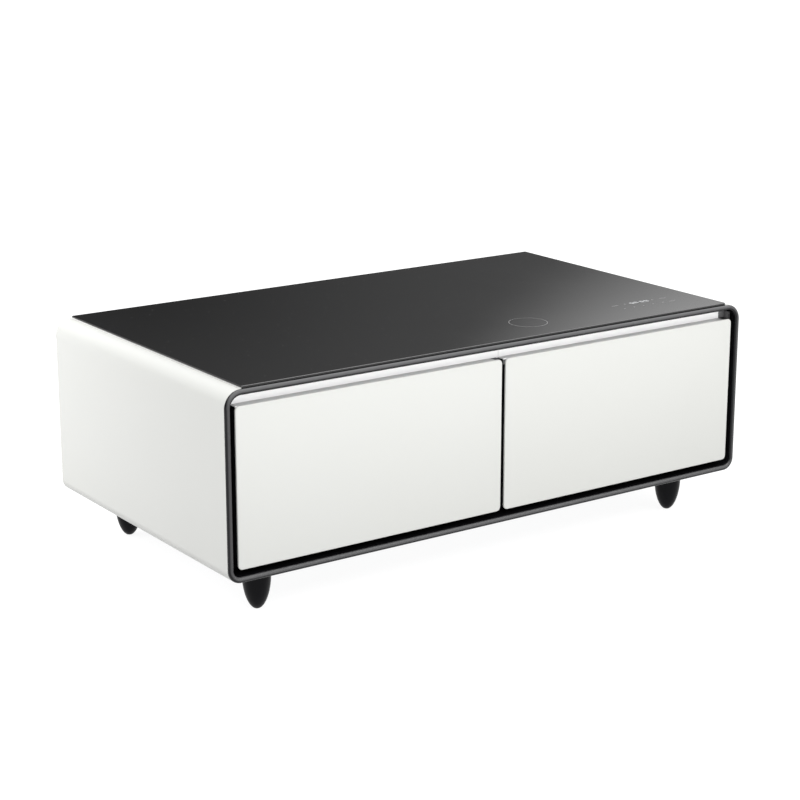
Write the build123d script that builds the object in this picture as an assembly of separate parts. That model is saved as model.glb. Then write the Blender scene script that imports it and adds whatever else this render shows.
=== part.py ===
from build123d import *
from math import acos, cos, pi, radians, sin, tan
import os

# A refrigerated coffee table, in millimetres, standing on its four feet.
# X runs to the right along the front, the drawers open towards -Y, and Z is up.
# The origin lies on the floor under the middle of the table.

# Overall size of the table
table_width = 1300.0
table_depth = 711.0
shell_height = 378.0
leg_height = 96.0

# Clearances shared by neighbouring pieces
seat_gap = 0.3
overrun = 5.0

# Sheet shells round both sides
sheet = 1.2
top_corner = 35.0
bottom_corner = 27.0
lip_reach = 14.0
underside_reach = 33.0
back_flange = 13.0
back_recess = 3.0

# Glass top and the tape that bonds it
glass_thickness = 8.0
glass_proud = 5.0
glass_reveal = 2.5
glass_gap = 1.0
glass_bevel = 0.9
glass_corner = 3.0
tape_thickness = 1.0
tape_width = 9.0

# Front moulding
moulding_proud = 7.0
moulding_width = 11.0
crown_share = 0.47

# Recess behind the moulding
well_depth = 50.0
well_wall = 2.2
well_step = 0.6

# Drawer openings and liners
centre_wall = 65.0
side_wall = 49.0
mouth_low = 46.0
mouth_high = 50.0
mouth_corner = 14.0
liner_wall = 2.0
liner_flange = 11.0
liner_back_radius = 12.0

# Machine bay behind the compartments
bay_depth = 155.2
machine_gaps = 5
back_insulation = 33.0
bulkhead_sheet = 0.8

# Floor pan
pan_sheet = 1.0
pan_setback = 3.5
pan_lip = 16.0
bead_length = 1080.0
bead_width = 26.0
bead_pitch = 140.0
bead_places = (-1, 0, 1)
vent_length = 74.0
vent_width = 5.0
vent_pitch = 15.0
vent_count = 14

# Feet
foot_inset_x = 112.6
foot_inset_y = 84.5
foot_radius = 29.0
foot_flare = 1.0
foot_bulge = 75.0
foot_tip = 2.0
stud_radius = 4.0
stud_play = 0.1
stud_grip = 22.0
stud_length = 36.0
anchor_side = 56.0
anchor_sheet = 2.0
anchor_boss = 8.0
anchor_height = 12.0

# Tray under the glass
tray_depth = 14.0
tray_rim = 13.0
tray_side_gap = 1.2
tray_corner = 10.0

# Charger and touch electronics under the glass
coil_x = 148.0
coil_setback = 107.5
coil_radius = 25.0
coil_bore = 10.0
coil_rings = 5
ring_width = 2.0
ring_height = 1.4
ferrite = 1.5
board_sheet = 1.6
charger_width = 96.0
charger_depth = 54.0
charger_offset = 92.0
touch_margin = 147.5
touch_setback = 121.0
touch_width = 190.0
touch_depth = 52.0
digit_window = 66.0
digit_window_depth = 15.0
touch_spring = 4.5
touch_spring_pitch = 24.0
touch_row_start = 58.0
standoff = 3.0
standoff_inset = 7.0
board_lift = 6.0

# Drawer fronts
front_gap = 9.6
front_edge = 22.5
front_top = 31.8
front_bottom = 25.3
panel_thickness = 4.0
panel_proud = 3.0
panel_corner = 9.0
panel_bevel = 0.7

# Aluminium finger pull
pull_wall = 1.6
pull_depth = 17.5
pull_top = 15.0
pull_hook = 12.0
pull_lip = 8.5
pull_bend = 1.5
pull_seam = 1.2
cap_length = 18.5
notch_length = 15.0

# Insulated door behind each front
door_back = 42.0
core_inset = 1.5
core_low = 1.7
core_corner = 8.0
core_round = 2.5

# Door seal
gasket_width = 11.0
gasket_offset = 3.0
gasket_round = 1.5

# Telescopic slides
rail_setback = 6.0
rail_end_gap = 29.0
rail_height = 45.0
rail_reach = 12.7
rail_drop = 89.0
rail_sheet = 1.2
rail_bead = 1.5
rail_lip = 2.7
rail_back_gap = 0.8

# Drawer frame
frame_sheet = 1.5
frame_ledge = 12.5
frame_low = 16.0
frame_high = 18.0
frame_front_drop = 88.0

# Storage bins
bin_gap = 0.8
bin_wall = 2.5
bin_rim = 3.0
bin_rim_reach = 13.0
bin_corner = 30.0
bin_floor_gap = 14.0
bin_draft = 2.0
bin_floor_round = 12.0
divider_thickness = 2.5
divider_drop = 42.5
divider_back_room = 170.0

# Lamps in the compartment roofs
lamp_length = 280.0
lamp_width = 16.0
lamp_height = 9.0
lamp_setback = 34.0
lamp_bevel = 3.0

# Evaporator plates
plate_width = 440.0
plate_height = 180.0
plate_sheet = 1.6
plate_drop = 24.0
channel_width = 7.0
channel_height = 2.4
channel_runs = 6
channel_margin = 18.0
stub_radius = 4.0
stub_play = 0.5
stub_reach = 12.0
stub_spacing = 60.0

# Compressor
compressor_length = 150.0
compressor_width = 116.0
compressor_height = 142.0
compressor_dome = 34.0
compressor_foot_round = 22.0
weld_width = 7.0
weld_proud = 2.0
base_length = 206.0
base_width = 112.0
base_sheet = 2.5
base_corner = 14.0
grommet_radius = 11.0
grommet_neck = 7.0
grommet_below = 8.0
grommet_above = 4.0
grommet_bore = 3.5
grommet_inset = 16.0
terminal_length = 16.0
terminal_width = 52.0
terminal_height = 44.0
terminal_round = 5.0

# Condenser
condenser_width = 100.0
condenser_height = 150.0
fin_sheet = 0.8
fin_pitch = 13.0
fin_count = 13
tube_radius = 4.0
tube_runs = 4
condenser_lift = 6.0
skid_width = 10.0

# Condenser fan
fan_side = 120.0
fan_depth = 25.0
fan_bore = 57.0
fan_corner = 8.0
fan_hub = 18.0
fan_hub_depth = 15.0
fan_motor_wall = 3.0
strut_width = 6.0
strut_count = 4
strut_turn = 45.0
fan_gap = 3.2
blade_count = 7
blade_tip_gap = 2.5
blade_root_chord = 17.0
blade_tip_chord = 26.0
blade_thickness = 1.6
blade_root_pitch = 48.0
blade_tip_pitch = 27.0
shaft_radius = 2.0
shaft_play = 0.08

# Filter drier and refrigerant lines
drier_radius = 9.0
drier_length = 90.0
drier_taper = 14.0
drier_lift = 60.0
line_radius = 3.0
line_bend = 18.0
line_bend_small = 10.0
line_rise = 44.0
port_spacing = 24.0
tee_length = 26.0
tee_wall = 1.0
capillary_radius = 1.2
capillary_offset = 1.5
capillary_drop = 44.0
capillary_pitch = 8.0

# Control box
control_length = 170.0
control_width = 92.0
control_height = 74.0
control_wall = 2.0
control_corner = 6.0
control_groove = 1.2
control_grooves = 9
groove_pitch = 14.0

# Back panel, grille and screws
panel_sheet = 1.0
grille_margin = 82.0
grille_height = 188.0
grille_low = 46.0
grille_frame = 10.0
grille_wall = 2.0
grille_reach = 12.0
louvre_sheet = 1.8
louvre_pitch = 14.0
louvre_count = 12
louvre_tilt = 40.0
louvre_chord = 13.0
grille_ribs = 6
grille_corner = 8.0
screw_head = 4.2
screw_head_height = 2.2
screw_radius = 1.9
screw_play = 0.2
screw_length = 7.0
side_screws = 4
floor_screws = 6
screw_margin = 46.0

# Mains inlet
inlet_margin = 110.0
inlet_height = 62.0
inlet_width = 30.0
inlet_tall = 22.0
inlet_flange = 3.0
inlet_flange_sheet = 2.0
inlet_length = 20.0
inlet_recess_width = 24.5
inlet_recess_tall = 16.5
inlet_recess = 15.0
pin_width = 2.0
pin_tall = 4.0
pin_length = 12.0
pin_spacing = 7.0
pin_drop = 3.5
pin_earth = 1.5

# Levels and planes worked out from the sizes above
half_width = table_width / 2
shell_bottom = leg_height
shell_top = leg_height + shell_height
front = moulding_proud - table_depth / 2
back = table_depth / 2
glass_edge = half_width - top_corner - glass_reveal
lip_edge = glass_edge + glass_gap
glass_bottom = shell_top + glass_proud - glass_thickness
rim_level = glass_bottom - tape_thickness
tray_bottom = rim_level - tray_depth
pan_bottom = shell_bottom + sheet
pan_top = pan_bottom + pan_sheet
mouth_plane = front + well_depth
back_face = back - back_recess
flange_plane = back_face - panel_sheet
bulkhead_plane = flange_plane - bay_depth - bulkhead_sheet
liner_depth = bulkhead_plane - back_insulation - mouth_plane
mouth_z0 = shell_bottom + mouth_low
mouth_z1 = shell_top - mouth_high
mouth_x0 = centre_wall / 2
mouth_x1 = half_width - side_wall - sheet
mouth_middle = (mouth_x0 + mouth_x1) / 2
mouth_half = (mouth_x1 - mouth_x0) / 2
panel_x0 = front_gap / 2
panel_x1 = half_width - front_edge
panel_z0 = shell_bottom + front_bottom
panel_z1 = shell_top - front_top
pull_z1 = shell_top - pull_top
rail_z = mouth_z1 - rail_drop
rail_y0 = mouth_plane + rail_setback
rail_length = liner_depth - rail_setback - rail_end_gap
ledge_top = rail_z + frame_high
bay_middle = (bulkhead_plane + bulkhead_sheet + flange_plane - sheet) / 2
inlet_x = half_width - inlet_margin
grille_half = inlet_x - inlet_width / 2 - inlet_flange - grille_margin

# The machines stand in a row between the anchors of the back feet, with even room between them
control_reach = control_length / 2 + control_corner * 2
condenser_length = fin_pitch * (fin_count - 1)
tube_pitch = condenser_height / tube_runs
condenser_reach = (condenser_length + fin_pitch + tube_pitch) / 2 + tube_radius
bay_half = half_width - foot_inset_x - anchor_side / 2
blower_length = fan_depth + fan_gap + condenser_reach * 2
machine_lengths = control_reach * 2 + base_length + blower_length + drier_radius * 2
machine_room = (bay_half * 2 - machine_lengths) / machine_gaps
control_x = machine_room + control_reach - bay_half
compressor_x = control_x + control_reach + machine_room + base_length / 2
fan_x = compressor_x + base_length / 2 + machine_room + fan_depth / 2
condenser_x = fan_x + fan_depth / 2 + fan_gap + condenser_reach
drier_x = condenser_x + condenser_reach + machine_room + drier_radius
sides = {"left": -1, "right": 1}


# Shared shapes

def slab(x0, x1, y0, y1, z0, z1):
    """Rectangular block between two opposite corners."""
    block = Box(x1 - x0, y1 - y0, z1 - z0)
    return Pos((x0 + x1) / 2, (y0 + y1) / 2, (z0 + z1) / 2) * block


def upright(face, y0, y1):
    """Solid of a face drawn in X and Z that reaches from y0 back to y1."""
    plane = Plane((0, y1, 0), x_dir=(1, 0, 0), z_dir=(0, -1, 0))
    return extrude(plane * face, y1 - y0)


def along(face, x0, x1):
    """Solid of a face drawn in Y and Z that reaches from x0 to x1."""
    plane = Plane((x0, 0, 0), x_dir=(0, 1, 0), z_dir=(1, 0, 0))
    return extrude(plane * face, x1 - x0)


def rectangle(x0, x1, z0, z1):
    """Flat rectangle between two opposite corners."""
    return Pos((x0 + x1) / 2, (z0 + z1) / 2) * Rectangle(x1 - x0, z1 - z0)


def rounded(x0, x1, z0, z1, radius):
    """Flat rectangle with one radius at its four corners."""
    return Pos((x0 + x1) / 2, (z0 + z1) / 2) * RectangleRounded(x1 - x0, z1 - z0, radius)


def outline(inset):
    """Front outline of the table's body, drawn in from the outside of its shells."""
    face = rectangle(inset - half_width, half_width - inset, shell_bottom + inset, shell_top - inset)
    face = fillet(face.vertices().sort_by(Axis.Y)[-2:], top_corner - inset)
    return fillet(face.vertices().sort_by(Axis.Y)[:2], bottom_corner - inset)


def inner_outline(low, high):
    """Outline just inside the shells, between two levels, clear of the lips under the glass."""
    edge = lip_edge - lip_reach - seat_gap
    under_lips = rectangle(-half_width, half_width, low, min(high, rim_level - sheet - seat_gap))
    between_lips = rectangle(-edge, edge, low, high)
    return outline(sheet + seat_gap) & (under_lips + between_lips)


def mirrored(part, side):
    """The part itself for the right side, or its mirror image for the left."""
    return part if side > 0 else mirror(part, about=Plane.YZ)


def tube(points, bends, radius):
    """Round bar along straight runs that are joined by arcs."""
    path = FilletPolyline(*points, radius=bends)
    return sweep(Plane(origin=path @ 0, z_dir=path % 0) * Circle(radius), path)


# Body: shells, floor, back and front

def side_shell(side):
    """White shell round one side, with a stepped lip under the glass and a hem at the back."""
    middle = (shell_bottom + shell_top) / 2
    floor_edge = half_width - bottom_corner - underside_reach
    wall = outline(0) - outline(sheet)
    upper = rectangle(lip_edge, half_width, middle, shell_top)
    lower = rectangle(floor_edge, half_width, shell_bottom, middle)
    step = rectangle(lip_edge, lip_edge + sheet, rim_level - sheet, shell_top)
    lip = rectangle(lip_edge - lip_reach, lip_edge + sheet, rim_level - sheet, rim_level)
    shell = upright((wall & (upper + lower)) + (step & outline(0)) + lip, front, back)
    hem_side = rectangle(half_width - top_corner, half_width, shell_bottom, shell_top)
    hem = upright((outline(sheet) - outline(back_flange)) & hem_side, flange_plane - sheet, flange_plane)
    shell = shell + hem
    for place in side_screw_places():
        shell -= screw_hole(*place)
    return mirrored(shell, side)


def side_screw_places():
    """Screws up the right hem of the back."""
    x = half_width - sheet - (back_flange - sheet) / 2
    low = shell_bottom + screw_margin
    step = (shell_height - screw_margin * 2) / (side_screws - 1)
    return [(x, low + step * i) for i in range(side_screws)]


def floor_screw_places():
    """Screws along the upturned lip at the back of the floor pan."""
    reach = half_width - bottom_corner - underside_reach
    step = (reach - screw_margin) * 2 / (floor_screws - 1)
    return [(screw_margin - reach + step * i, pan_bottom + pan_lip / 2) for i in range(floor_screws)]


def screw_hole(x, z):
    """Clearance hole through the back panel and the hem behind it."""
    plane = Plane((x, back, z), x_dir=(1, 0, 0), z_dir=(0, -1, 0))
    return extrude(plane * Circle(screw_radius + screw_play), back_recess + panel_sheet + sheet + overrun)


def foot_places():
    """Foot centres by name."""
    x = half_width - foot_inset_x
    y0 = front + foot_inset_y
    y1 = back - foot_inset_y
    return {
        "front_left_foot": (-x, y0),
        "front_right_foot": (x, y0),
        "back_left_foot": (-x, y1),
        "back_right_foot": (x, y1),
    }


def pan_bead(y):
    """Stiffening bead pressed down from the floor pan, and the hollow inside it."""
    outside = Pos(0, y, shell_bottom) * extrude(SlotOverall(bead_length, bead_width), sheet)
    hollow_face = SlotOverall(bead_length - pan_sheet * 2, bead_width - pan_sheet * 2)
    hollow = Pos(0, y, shell_bottom + pan_sheet) * extrude(hollow_face, sheet + overrun)
    return outside, hollow


def base_pan():
    """Floor pan with beads, air slots under the condenser and an upturned back lip."""
    edge = half_width - bottom_corner - seat_gap
    lip_half = half_width - bottom_corner - underside_reach
    y1 = flange_plane - sheet - seat_gap
    pan = slab(-edge, edge, front + pan_setback, y1, pan_bottom, pan_top)
    pan += slab(-lip_half, lip_half, y1, flange_plane - sheet, pan_bottom, pan_top)
    pan += slab(-lip_half, lip_half, flange_plane - sheet, flange_plane, pan_bottom, pan_bottom + pan_lip)
    beads = [pan_bead(bead_pitch * i - bead_pitch / 2) for i in bead_places]
    for outside, hollow in beads:
        pan = pan + outside - hollow
    slots = GridLocations(vent_pitch, 0, vent_count, 1)
    cutter = extrude(Rot(0, 0, 90) * SlotOverall(vent_length, vent_width), overrun * 2, both=True)
    pan -= Pos(condenser_x, bay_middle, pan_top) * slots * cutter
    for x, y in foot_places().values():
        pan -= Pos(x, y, pan_top) * Cylinder(stud_radius + stud_play, overrun * 2)
    for x, z in floor_screw_places():
        pan -= screw_hole(x, z)
    return pan


def foot(x, y):
    """Tapered foot: part of an ellipse turned about an upright axis, flat at the tip, with a stud hole."""
    top = pan_bottom
    centre = foot_bulge - foot_tip
    cut = acos(centre / foot_bulge)
    handle_share = 4 / 3 * tan((pi / 2 - cut) / 4)
    tip = (foot_radius * sin(cut), 0)
    side = (foot_radius, centre)
    near_tip = (tip[0] + foot_radius * cos(cut) * handle_share, foot_bulge * sin(cut) * handle_share)
    near_side = (foot_radius, centre - foot_bulge * handle_share)
    curve = Bezier(tip, near_tip, near_side, side)
    rest = Polyline(side, (foot_radius + foot_flare, top), (0, top), (0, 0), tip)
    body = revolve(Plane.XZ * make_face([curve, rest]), Axis.Z)
    hole = Pos(0, 0, top - stud_grip / 2) * Cylinder(stud_radius + stud_play, stud_grip)
    return Pos(x, y, 0) * (body - hole)


def foot_studs():
    """Threaded studs that join the feet to the anchors."""
    stud = Pos(0, 0, pan_bottom - stud_grip + seat_gap + stud_length / 2) * Cylinder(stud_radius, stud_length)
    return [Pos(x, y, 0) * stud for x, y in foot_places().values()]


def anchor_form(grow):
    """Square plate with a round boss above each foot, grown where it shapes a pocket."""
    side = anchor_side + grow * 2
    plate = Pos(0, 0, pan_top) * extrude(Rectangle(side, side), anchor_sheet + grow)
    boss = Pos(0, 0, pan_top) * extrude(Circle(anchor_boss + grow), anchor_sheet + anchor_height + grow)
    return plate + boss


def foot_anchors():
    """Steel plates inside the floor pan that the studs screw into."""
    bore = Cylinder(stud_radius + stud_play, anchor_sheet + anchor_height + overrun)
    bore = Pos(0, 0, pan_top + (anchor_sheet + anchor_height) / 2) * bore
    anchor = anchor_form(0) - bore
    return [Pos(x, y, 0) * anchor for x, y in foot_places().values()]


def front_moulding():
    """Half-round bezel that runs round the whole front."""
    ring = outline(0) - outline(moulding_width)
    body = upright(ring, front - moulding_proud, front)
    return fillet(body.edges().group_by(Axis.Y)[0], moulding_width * crown_share)


def mouth(side, grow):
    """Opening of one compartment, drawn in X and Z."""
    face = rounded(
        mouth_middle - mouth_half - grow,
        mouth_middle + mouth_half + grow,
        mouth_z0 - grow,
        mouth_z1 + grow,
        mouth_corner + grow,
    )
    return face if side > 0 else mirror(face, about=Plane.YZ)


def front_well():
    """Black surround behind the bezel: a sleeve, its front flange and the face round both openings."""
    inset = moulding_width - well_step
    outside = inner_outline(pan_top + seat_gap, rim_level)
    inside = outline(inset)
    sleeve = upright((outline(inset - well_wall) & outside) - inside, front, mouth_plane)
    flange = upright(outside - inside, front, front + well_wall)
    face = upright(outside - mouth(1, 0) - mouth(-1, 0), mouth_plane - well_wall, mouth_plane)
    return sleeve + flange + face


def liner_form(side, grow):
    """Block with the outside of one liner, rounded at its back, grown by a clearance or a wall."""
    y1 = mouth_plane + liner_depth + grow
    block = upright(mouth(1, grow), mouth_plane, y1)
    block = fillet(block.edges().group_by(Axis.Y)[-1], liner_back_radius + grow)
    return mirrored(block, side)


def liner(side):
    """Moulded compartment liner with a flange round its mouth and holes for the cold plate's pipes."""
    flange = upright(mouth(1, liner_flange) - mouth(1, 0), mouth_plane, mouth_plane + liner_wall)
    body = liner_form(1, 0) - liner_form(1, -liner_wall) + flange
    inside = upright(mouth(1, -liner_wall), mouth_plane - overrun, mouth_plane + liner_wall)
    body = body - inside
    for x, z in stub_places():
        body -= pipe_bore(x, z)
    return mirrored(body, side)


def cabinet_foam():
    """Foamed-in insulation that fills the body round both liners."""
    block = upright(inner_outline(pan_top, tray_bottom), mouth_plane, bulkhead_plane)
    for side in sides.values():
        flange = upright(mouth(1, liner_flange + seat_gap), mouth_plane, mouth_plane + liner_wall + seat_gap)
        block = block - liner_form(side, seat_gap) - mirrored(flange, side)
        for x, z in stub_places():
            block -= mirrored(pipe_bore(x, z), side)
    for x, y in foot_places().values():
        block -= Pos(x, y, 0) * anchor_form(seat_gap)
    return block


def bulkhead():
    """Steel wall between the insulation and the machine bay."""
    wall = upright(inner_outline(pan_top, tray_bottom), bulkhead_plane, bulkhead_plane + bulkhead_sheet)
    for side in sides.values():
        for x, z in stub_places():
            wall -= mirrored(pipe_bore(x, z), side)
    return wall


def top_tray():
    """Pressed tray under the glass: a rim for the tape and a sunk floor for the electronics."""
    x1 = lip_edge - lip_reach - tray_side_gap
    y0 = mouth_plane + seat_gap
    y1 = flange_plane - sheet
    outside = slab(-x1, x1, y0, y1, rim_level - pan_sheet, rim_level)
    centre = Pos(0, (y0 + y1) / 2, 0)
    sunk_x = (x1 - tray_rim) * 2
    sunk_y = y1 - y0 - tray_rim * 2
    drop = RectangleRounded(sunk_x, sunk_y, tray_corner)
    hollow = RectangleRounded(sunk_x - pan_sheet * 2, sunk_y - pan_sheet * 2, tray_corner - pan_sheet)
    body = outside + centre * Pos(0, 0, tray_bottom) * extrude(drop, tray_depth)
    return body - centre * Pos(0, 0, tray_bottom + pan_sheet) * extrude(hollow, tray_depth)


# Glass and what lies under it

def glass_top():
    """Tempered pane with rounded corners and a ground bevel along its upper edges."""
    y0 = front + glass_gap
    y1 = back - glass_gap / 2
    pane = Pos(0, (y0 + y1) / 2) * RectangleRounded(glass_edge * 2, y1 - y0, glass_corner)
    pane = Pos(0, 0, glass_bottom) * extrude(pane, glass_thickness)
    return chamfer(pane.edges().group_by(Axis.Z)[-1], glass_bevel)


def glass_tape():
    """Four strips of foam tape: two on the shells' lips, two on the tray's front and back rims."""
    x0 = lip_edge - lip_reach + (lip_reach - tape_width) / 2
    y0 = mouth_plane + tray_rim
    y1 = flange_plane - sheet - tray_rim
    strip_half = lip_edge - lip_reach - tray_rim
    front_y = mouth_plane + (tray_rim - tape_width) / 2 + seat_gap
    back_y = flange_plane - sheet - (tray_rim + tape_width) / 2
    right = slab(x0, x0 + tape_width, y0, y1, rim_level, glass_bottom)
    near = slab(-strip_half, strip_half, front_y, front_y + tape_width, rim_level, glass_bottom)
    far = slab(-strip_half, strip_half, back_y, back_y + tape_width, rim_level, glass_bottom)
    return [right, mirror(right, about=Plane.YZ), near, far]


def board_places(x, y, width, depth):
    """Four standoff places, inset from the corners of a board."""
    dx = width / 2 - standoff_inset
    dy = depth / 2 - standoff_inset
    return [(x + dx * i, y + dy * j) for i in (-1, 1) for j in (-1, 1)]


coil_y = front + coil_setback
charger_x = coil_x - charger_offset
touch_x = glass_edge - touch_margin
touch_y = front + touch_setback
tray_floor = tray_bottom + pan_sheet
board_level = tray_floor + board_lift
coil_level = glass_bottom - seat_gap - ring_height - ferrite


def charging_coil():
    """Wireless charging coil: concentric turns on a ferrite disc."""
    disc = Cylinder(coil_radius + ring_width, ferrite, align=(Align.CENTER, Align.CENTER, Align.MIN))
    body = Pos(coil_x, coil_y, coil_level) * disc
    pitch = (coil_radius - coil_bore) / coil_rings
    for i in range(coil_rings):
        outer = coil_radius - pitch * i
        turn = extrude(Circle(outer) - Circle(outer - ring_width), ring_height)
        body += Pos(coil_x, coil_y, coil_level + ferrite) * turn
    return body


def charger_board():
    """Driver board of the charging coil, with its chips and two inductors."""
    edge_x = charger_width / 2
    board = extrude(Rectangle(charger_width, charger_depth), board_sheet)
    board = Pos(charger_x, coil_y, board_level) * board
    chip = extrude(Rectangle(standoff_inset * 2, standoff_inset * 2), board_sheet)
    choke = extrude(Circle(standoff_inset), board_sheet * 2)
    top = board_level + board_sheet
    board += Pos(charger_x, coil_y, top) * chip
    board += Pos(charger_x - edge_x / 2, coil_y, top) * choke
    board += Pos(charger_x + edge_x / 2, coil_y, top) * choke
    return board


def touch_board():
    """Touch control board: a digit window and a row of touch springs that reach the glass."""
    board = Pos(touch_x, touch_y, board_level) * extrude(Rectangle(touch_width, touch_depth), board_sheet)
    top = board_level + board_sheet
    reach = glass_bottom - seat_gap - top
    board += Pos(touch_x, touch_y, top) * extrude(Rectangle(digit_window, digit_window_depth), reach)
    for side in sides.values():
        for i in range(2):
            x = touch_x + side * (touch_row_start - touch_spring_pitch / 2 + touch_spring_pitch * i)
            board += Pos(x, touch_y, top) * extrude(Circle(touch_spring), reach)
    return board


def board_standoffs():
    """Plastic posts that carry both boards and a cup that carries the coil."""
    places = board_places(charger_x, coil_y, charger_width, charger_depth)
    places += board_places(touch_x, touch_y, touch_width, touch_depth)
    posts = [Pos(x, y, tray_floor) * extrude(Circle(standoff), board_lift) for x, y in places]
    cup = extrude(Circle(coil_radius) - Circle(coil_bore), coil_level - tray_floor)
    return posts + [Pos(coil_x, coil_y, tray_floor) * cup]


# Drawers

def front_panel(side):
    """White drawer front with rounded corners and a fine bevel round its face."""
    y0 = front - panel_proud
    body = upright(rounded(panel_x0, panel_x1, panel_z0, panel_z1, panel_corner), y0, y0 + panel_thickness)
    return mirrored(chamfer(body.edges().group_by(Axis.Y)[0], panel_bevel), side)


panel_back = front - panel_proud + panel_thickness
pull_back = front + pull_depth
core_top = panel_z1 - pull_wall - seat_gap


def pull_profile():
    """Section of the aluminium pull in Y and Z: hook, floor, rounded inner corner, wall and top lip."""
    points = [
        (panel_back, panel_z1 - pull_hook),
        (panel_back + pull_wall, panel_z1 - pull_hook),
        (panel_back + pull_wall, panel_z1 - pull_wall),
        (pull_back + pull_wall, panel_z1 - pull_wall),
        (pull_back + pull_wall, pull_z1 - pull_wall),
        (pull_back + pull_lip, pull_z1 - pull_wall),
        (pull_back + pull_lip, pull_z1),
        (pull_back, pull_z1),
        (pull_back, panel_z1),
        (panel_back, panel_z1),
    ]
    face = make_face(Polyline(*points, close=True))
    inner = face.vertices().sort_by_distance((pull_back, panel_z1))[0]
    face = fillet(inner, pull_bend)
    outer = face.vertices().sort_by_distance((pull_back + pull_wall, panel_z1 - pull_wall))[0]
    return fillet(outer, pull_bend + pull_wall)


def pull(side):
    """Finger pull of one drawer. Both keep off their right-hand end, which a black cap fills."""
    core_x1 = panel_x1 - core_inset
    if side > 0:
        return along(pull_profile(), pull_seam / 2, core_x1 - cap_length)
    body = along(pull_profile(), -core_x1, -pull_seam / 2)
    x0 = -panel_x0 - notch_length
    y0 = panel_back - overrun
    return body - slab(x0, 0, y0, pull_back, panel_z1 - pull_hook - overrun, panel_z1 + seat_gap)


def pull_cap(side):
    """Black end of the pull: it closes the right-hand channel, and is a short toe on the left drawer."""
    profile = pull_profile()
    if side > 0:
        x1 = panel_x1 - core_inset
        web = rectangle(panel_back, pull_back, panel_z1, pull_z1 - pull_wall)
        return along(profile, x1 - cap_length + seat_gap, x1) + along(web, x1 - pull_wall, x1)
    toe = profile & rectangle(panel_back, pull_back - seat_gap, panel_z1 - pull_hook, panel_z1)
    return along(toe, seat_gap - panel_x0 - notch_length, -panel_x0 - core_inset)


def core_profile():
    """Section of the insulated door in Y and Z, notched in front where the pull hooks in."""
    y0 = panel_back
    y1 = panel_back + pull_wall + seat_gap
    y2 = front + door_back
    hook = panel_z1 - pull_hook - seat_gap
    low = panel_z0 + core_low
    points = [(y0, low), (y2, low), (y2, core_top), (y1, core_top), (y1, hook), (y0, hook)]
    return make_face(Polyline(*points, close=True))


def door_core(side):
    """Insulated door behind one front, under the pull's floor."""
    x0 = panel_x0 + core_inset
    x1 = panel_x1 - core_inset
    body = along(core_profile(), x0, x1)
    frame = rounded(x0, x1, panel_z0 + core_low, core_top, core_corner)
    body &= upright(frame, front - panel_proud, front + door_back)
    rim = body.edges().group_by(Axis.Y)[-1]
    return mirrored(fillet(rim, core_round), side)


def door_gasket(side):
    """Soft magnetic seal round the back of one door."""
    ring = mouth(1, gasket_offset + gasket_width) - mouth(1, gasket_offset)
    y1 = mouth_plane - well_wall - seat_gap
    body = upright(ring, front + door_back, y1)
    return mirrored(fillet(body.edges().group_by(Axis.Y)[-1], gasket_round), side)


def rail_member(part, wall, facing):
    """One member of a slide, as a section from its wall: outer, middle or inner."""
    half = rail_height / 2
    stage = rail_sheet + seat_gap + rail_bead
    if part == "outer":
        u0, u1, h = 0, rail_reach - rail_sheet - seat_gap * 2, half
    elif part == "middle":
        u0, u1, h = rail_sheet + rail_back_gap, rail_reach - rail_sheet - seat_gap * 2, half - stage
    else:
        u0, u1, h = rail_sheet * 2 + rail_back_gap * 2, rail_reach, half - stage * 2
    section = rectangle(u0, u1, -h, h) - rectangle(u0, u1, rail_sheet - h, h - rail_sheet)
    if part == "inner":
        section += rectangle(u1 - rail_sheet, u1, -h, h)
    else:
        lips = rectangle(u1 - rail_sheet, u1, -h, h) - rectangle(u0, u1, rail_lip - h, h - rail_lip)
        section += rectangle(u0, u0 + rail_sheet, -h, h) + lips
    if part != "outer":
        middle_u = (rail_back_gap + rail_reach) / 2 - seat_gap
        for i in (-1, 1):
            crown = Pos(middle_u, h * i) * Circle(rail_bead)
            section += crown & rectangle(0, rail_reach, *sorted((h * i, (h + rail_bead) * i)))
    if facing < 0:
        section = mirror(section, about=Plane.YZ)
    return upright(Pos(wall, rail_z) * section, rail_y0, rail_y0 + rail_length)


def rails(part, side):
    """The pair of like members at the two walls of one compartment."""
    half = mouth_half - liner_wall
    middle = mouth_middle * side
    return [rail_member(part, middle - half, 1), rail_member(part, middle + half, -1)]


frame_half = mouth_half - liner_wall - rail_reach
frame_y0 = front + door_back
frame_y1 = rail_y0 + rail_length


def drawer_frame(side):
    """Steel hoop that carries the bin: two arms on the slides, a front plate and a back bar."""
    middle = mouth_middle
    x0, x1 = middle - frame_half, middle + frame_half
    low = rail_z - frame_low
    body = slab(x0, x1, frame_y0, frame_y1, low, ledge_top)
    body += slab(x0, x1, frame_y0, frame_y0 + frame_sheet, ledge_top - frame_front_drop, ledge_top)
    inner_x0, inner_x1 = x0 + frame_sheet, x1 - frame_sheet
    inner_y0, inner_y1 = frame_y0 + frame_sheet, frame_y1 - frame_sheet
    body -= slab(inner_x0, inner_x1, inner_y0, inner_y1, low - overrun, ledge_top - frame_sheet)
    opening_x = middle - (inner_x0 + frame_ledge)
    opening_y = (inner_y1 - inner_y0) / 2 - frame_ledge
    centre_y = (inner_y0 + inner_y1) / 2
    opening = RectangleRounded(opening_x * 2, opening_y * 2, bin_corner)
    body -= Pos(middle, centre_y, low) * extrude(opening, frame_low + frame_high + overrun)
    return mirrored(body, side)


bin_half_x = frame_half - frame_sheet - frame_ledge - bin_gap
bin_y0 = frame_y0 + frame_sheet + frame_ledge + bin_gap
bin_y1 = frame_y1 - frame_sheet - frame_ledge - bin_gap
bin_middle_y = (bin_y0 + bin_y1) / 2
bin_bottom = mouth_z0 + liner_wall + bin_floor_gap
bin_depth = ledge_top - bin_bottom


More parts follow.
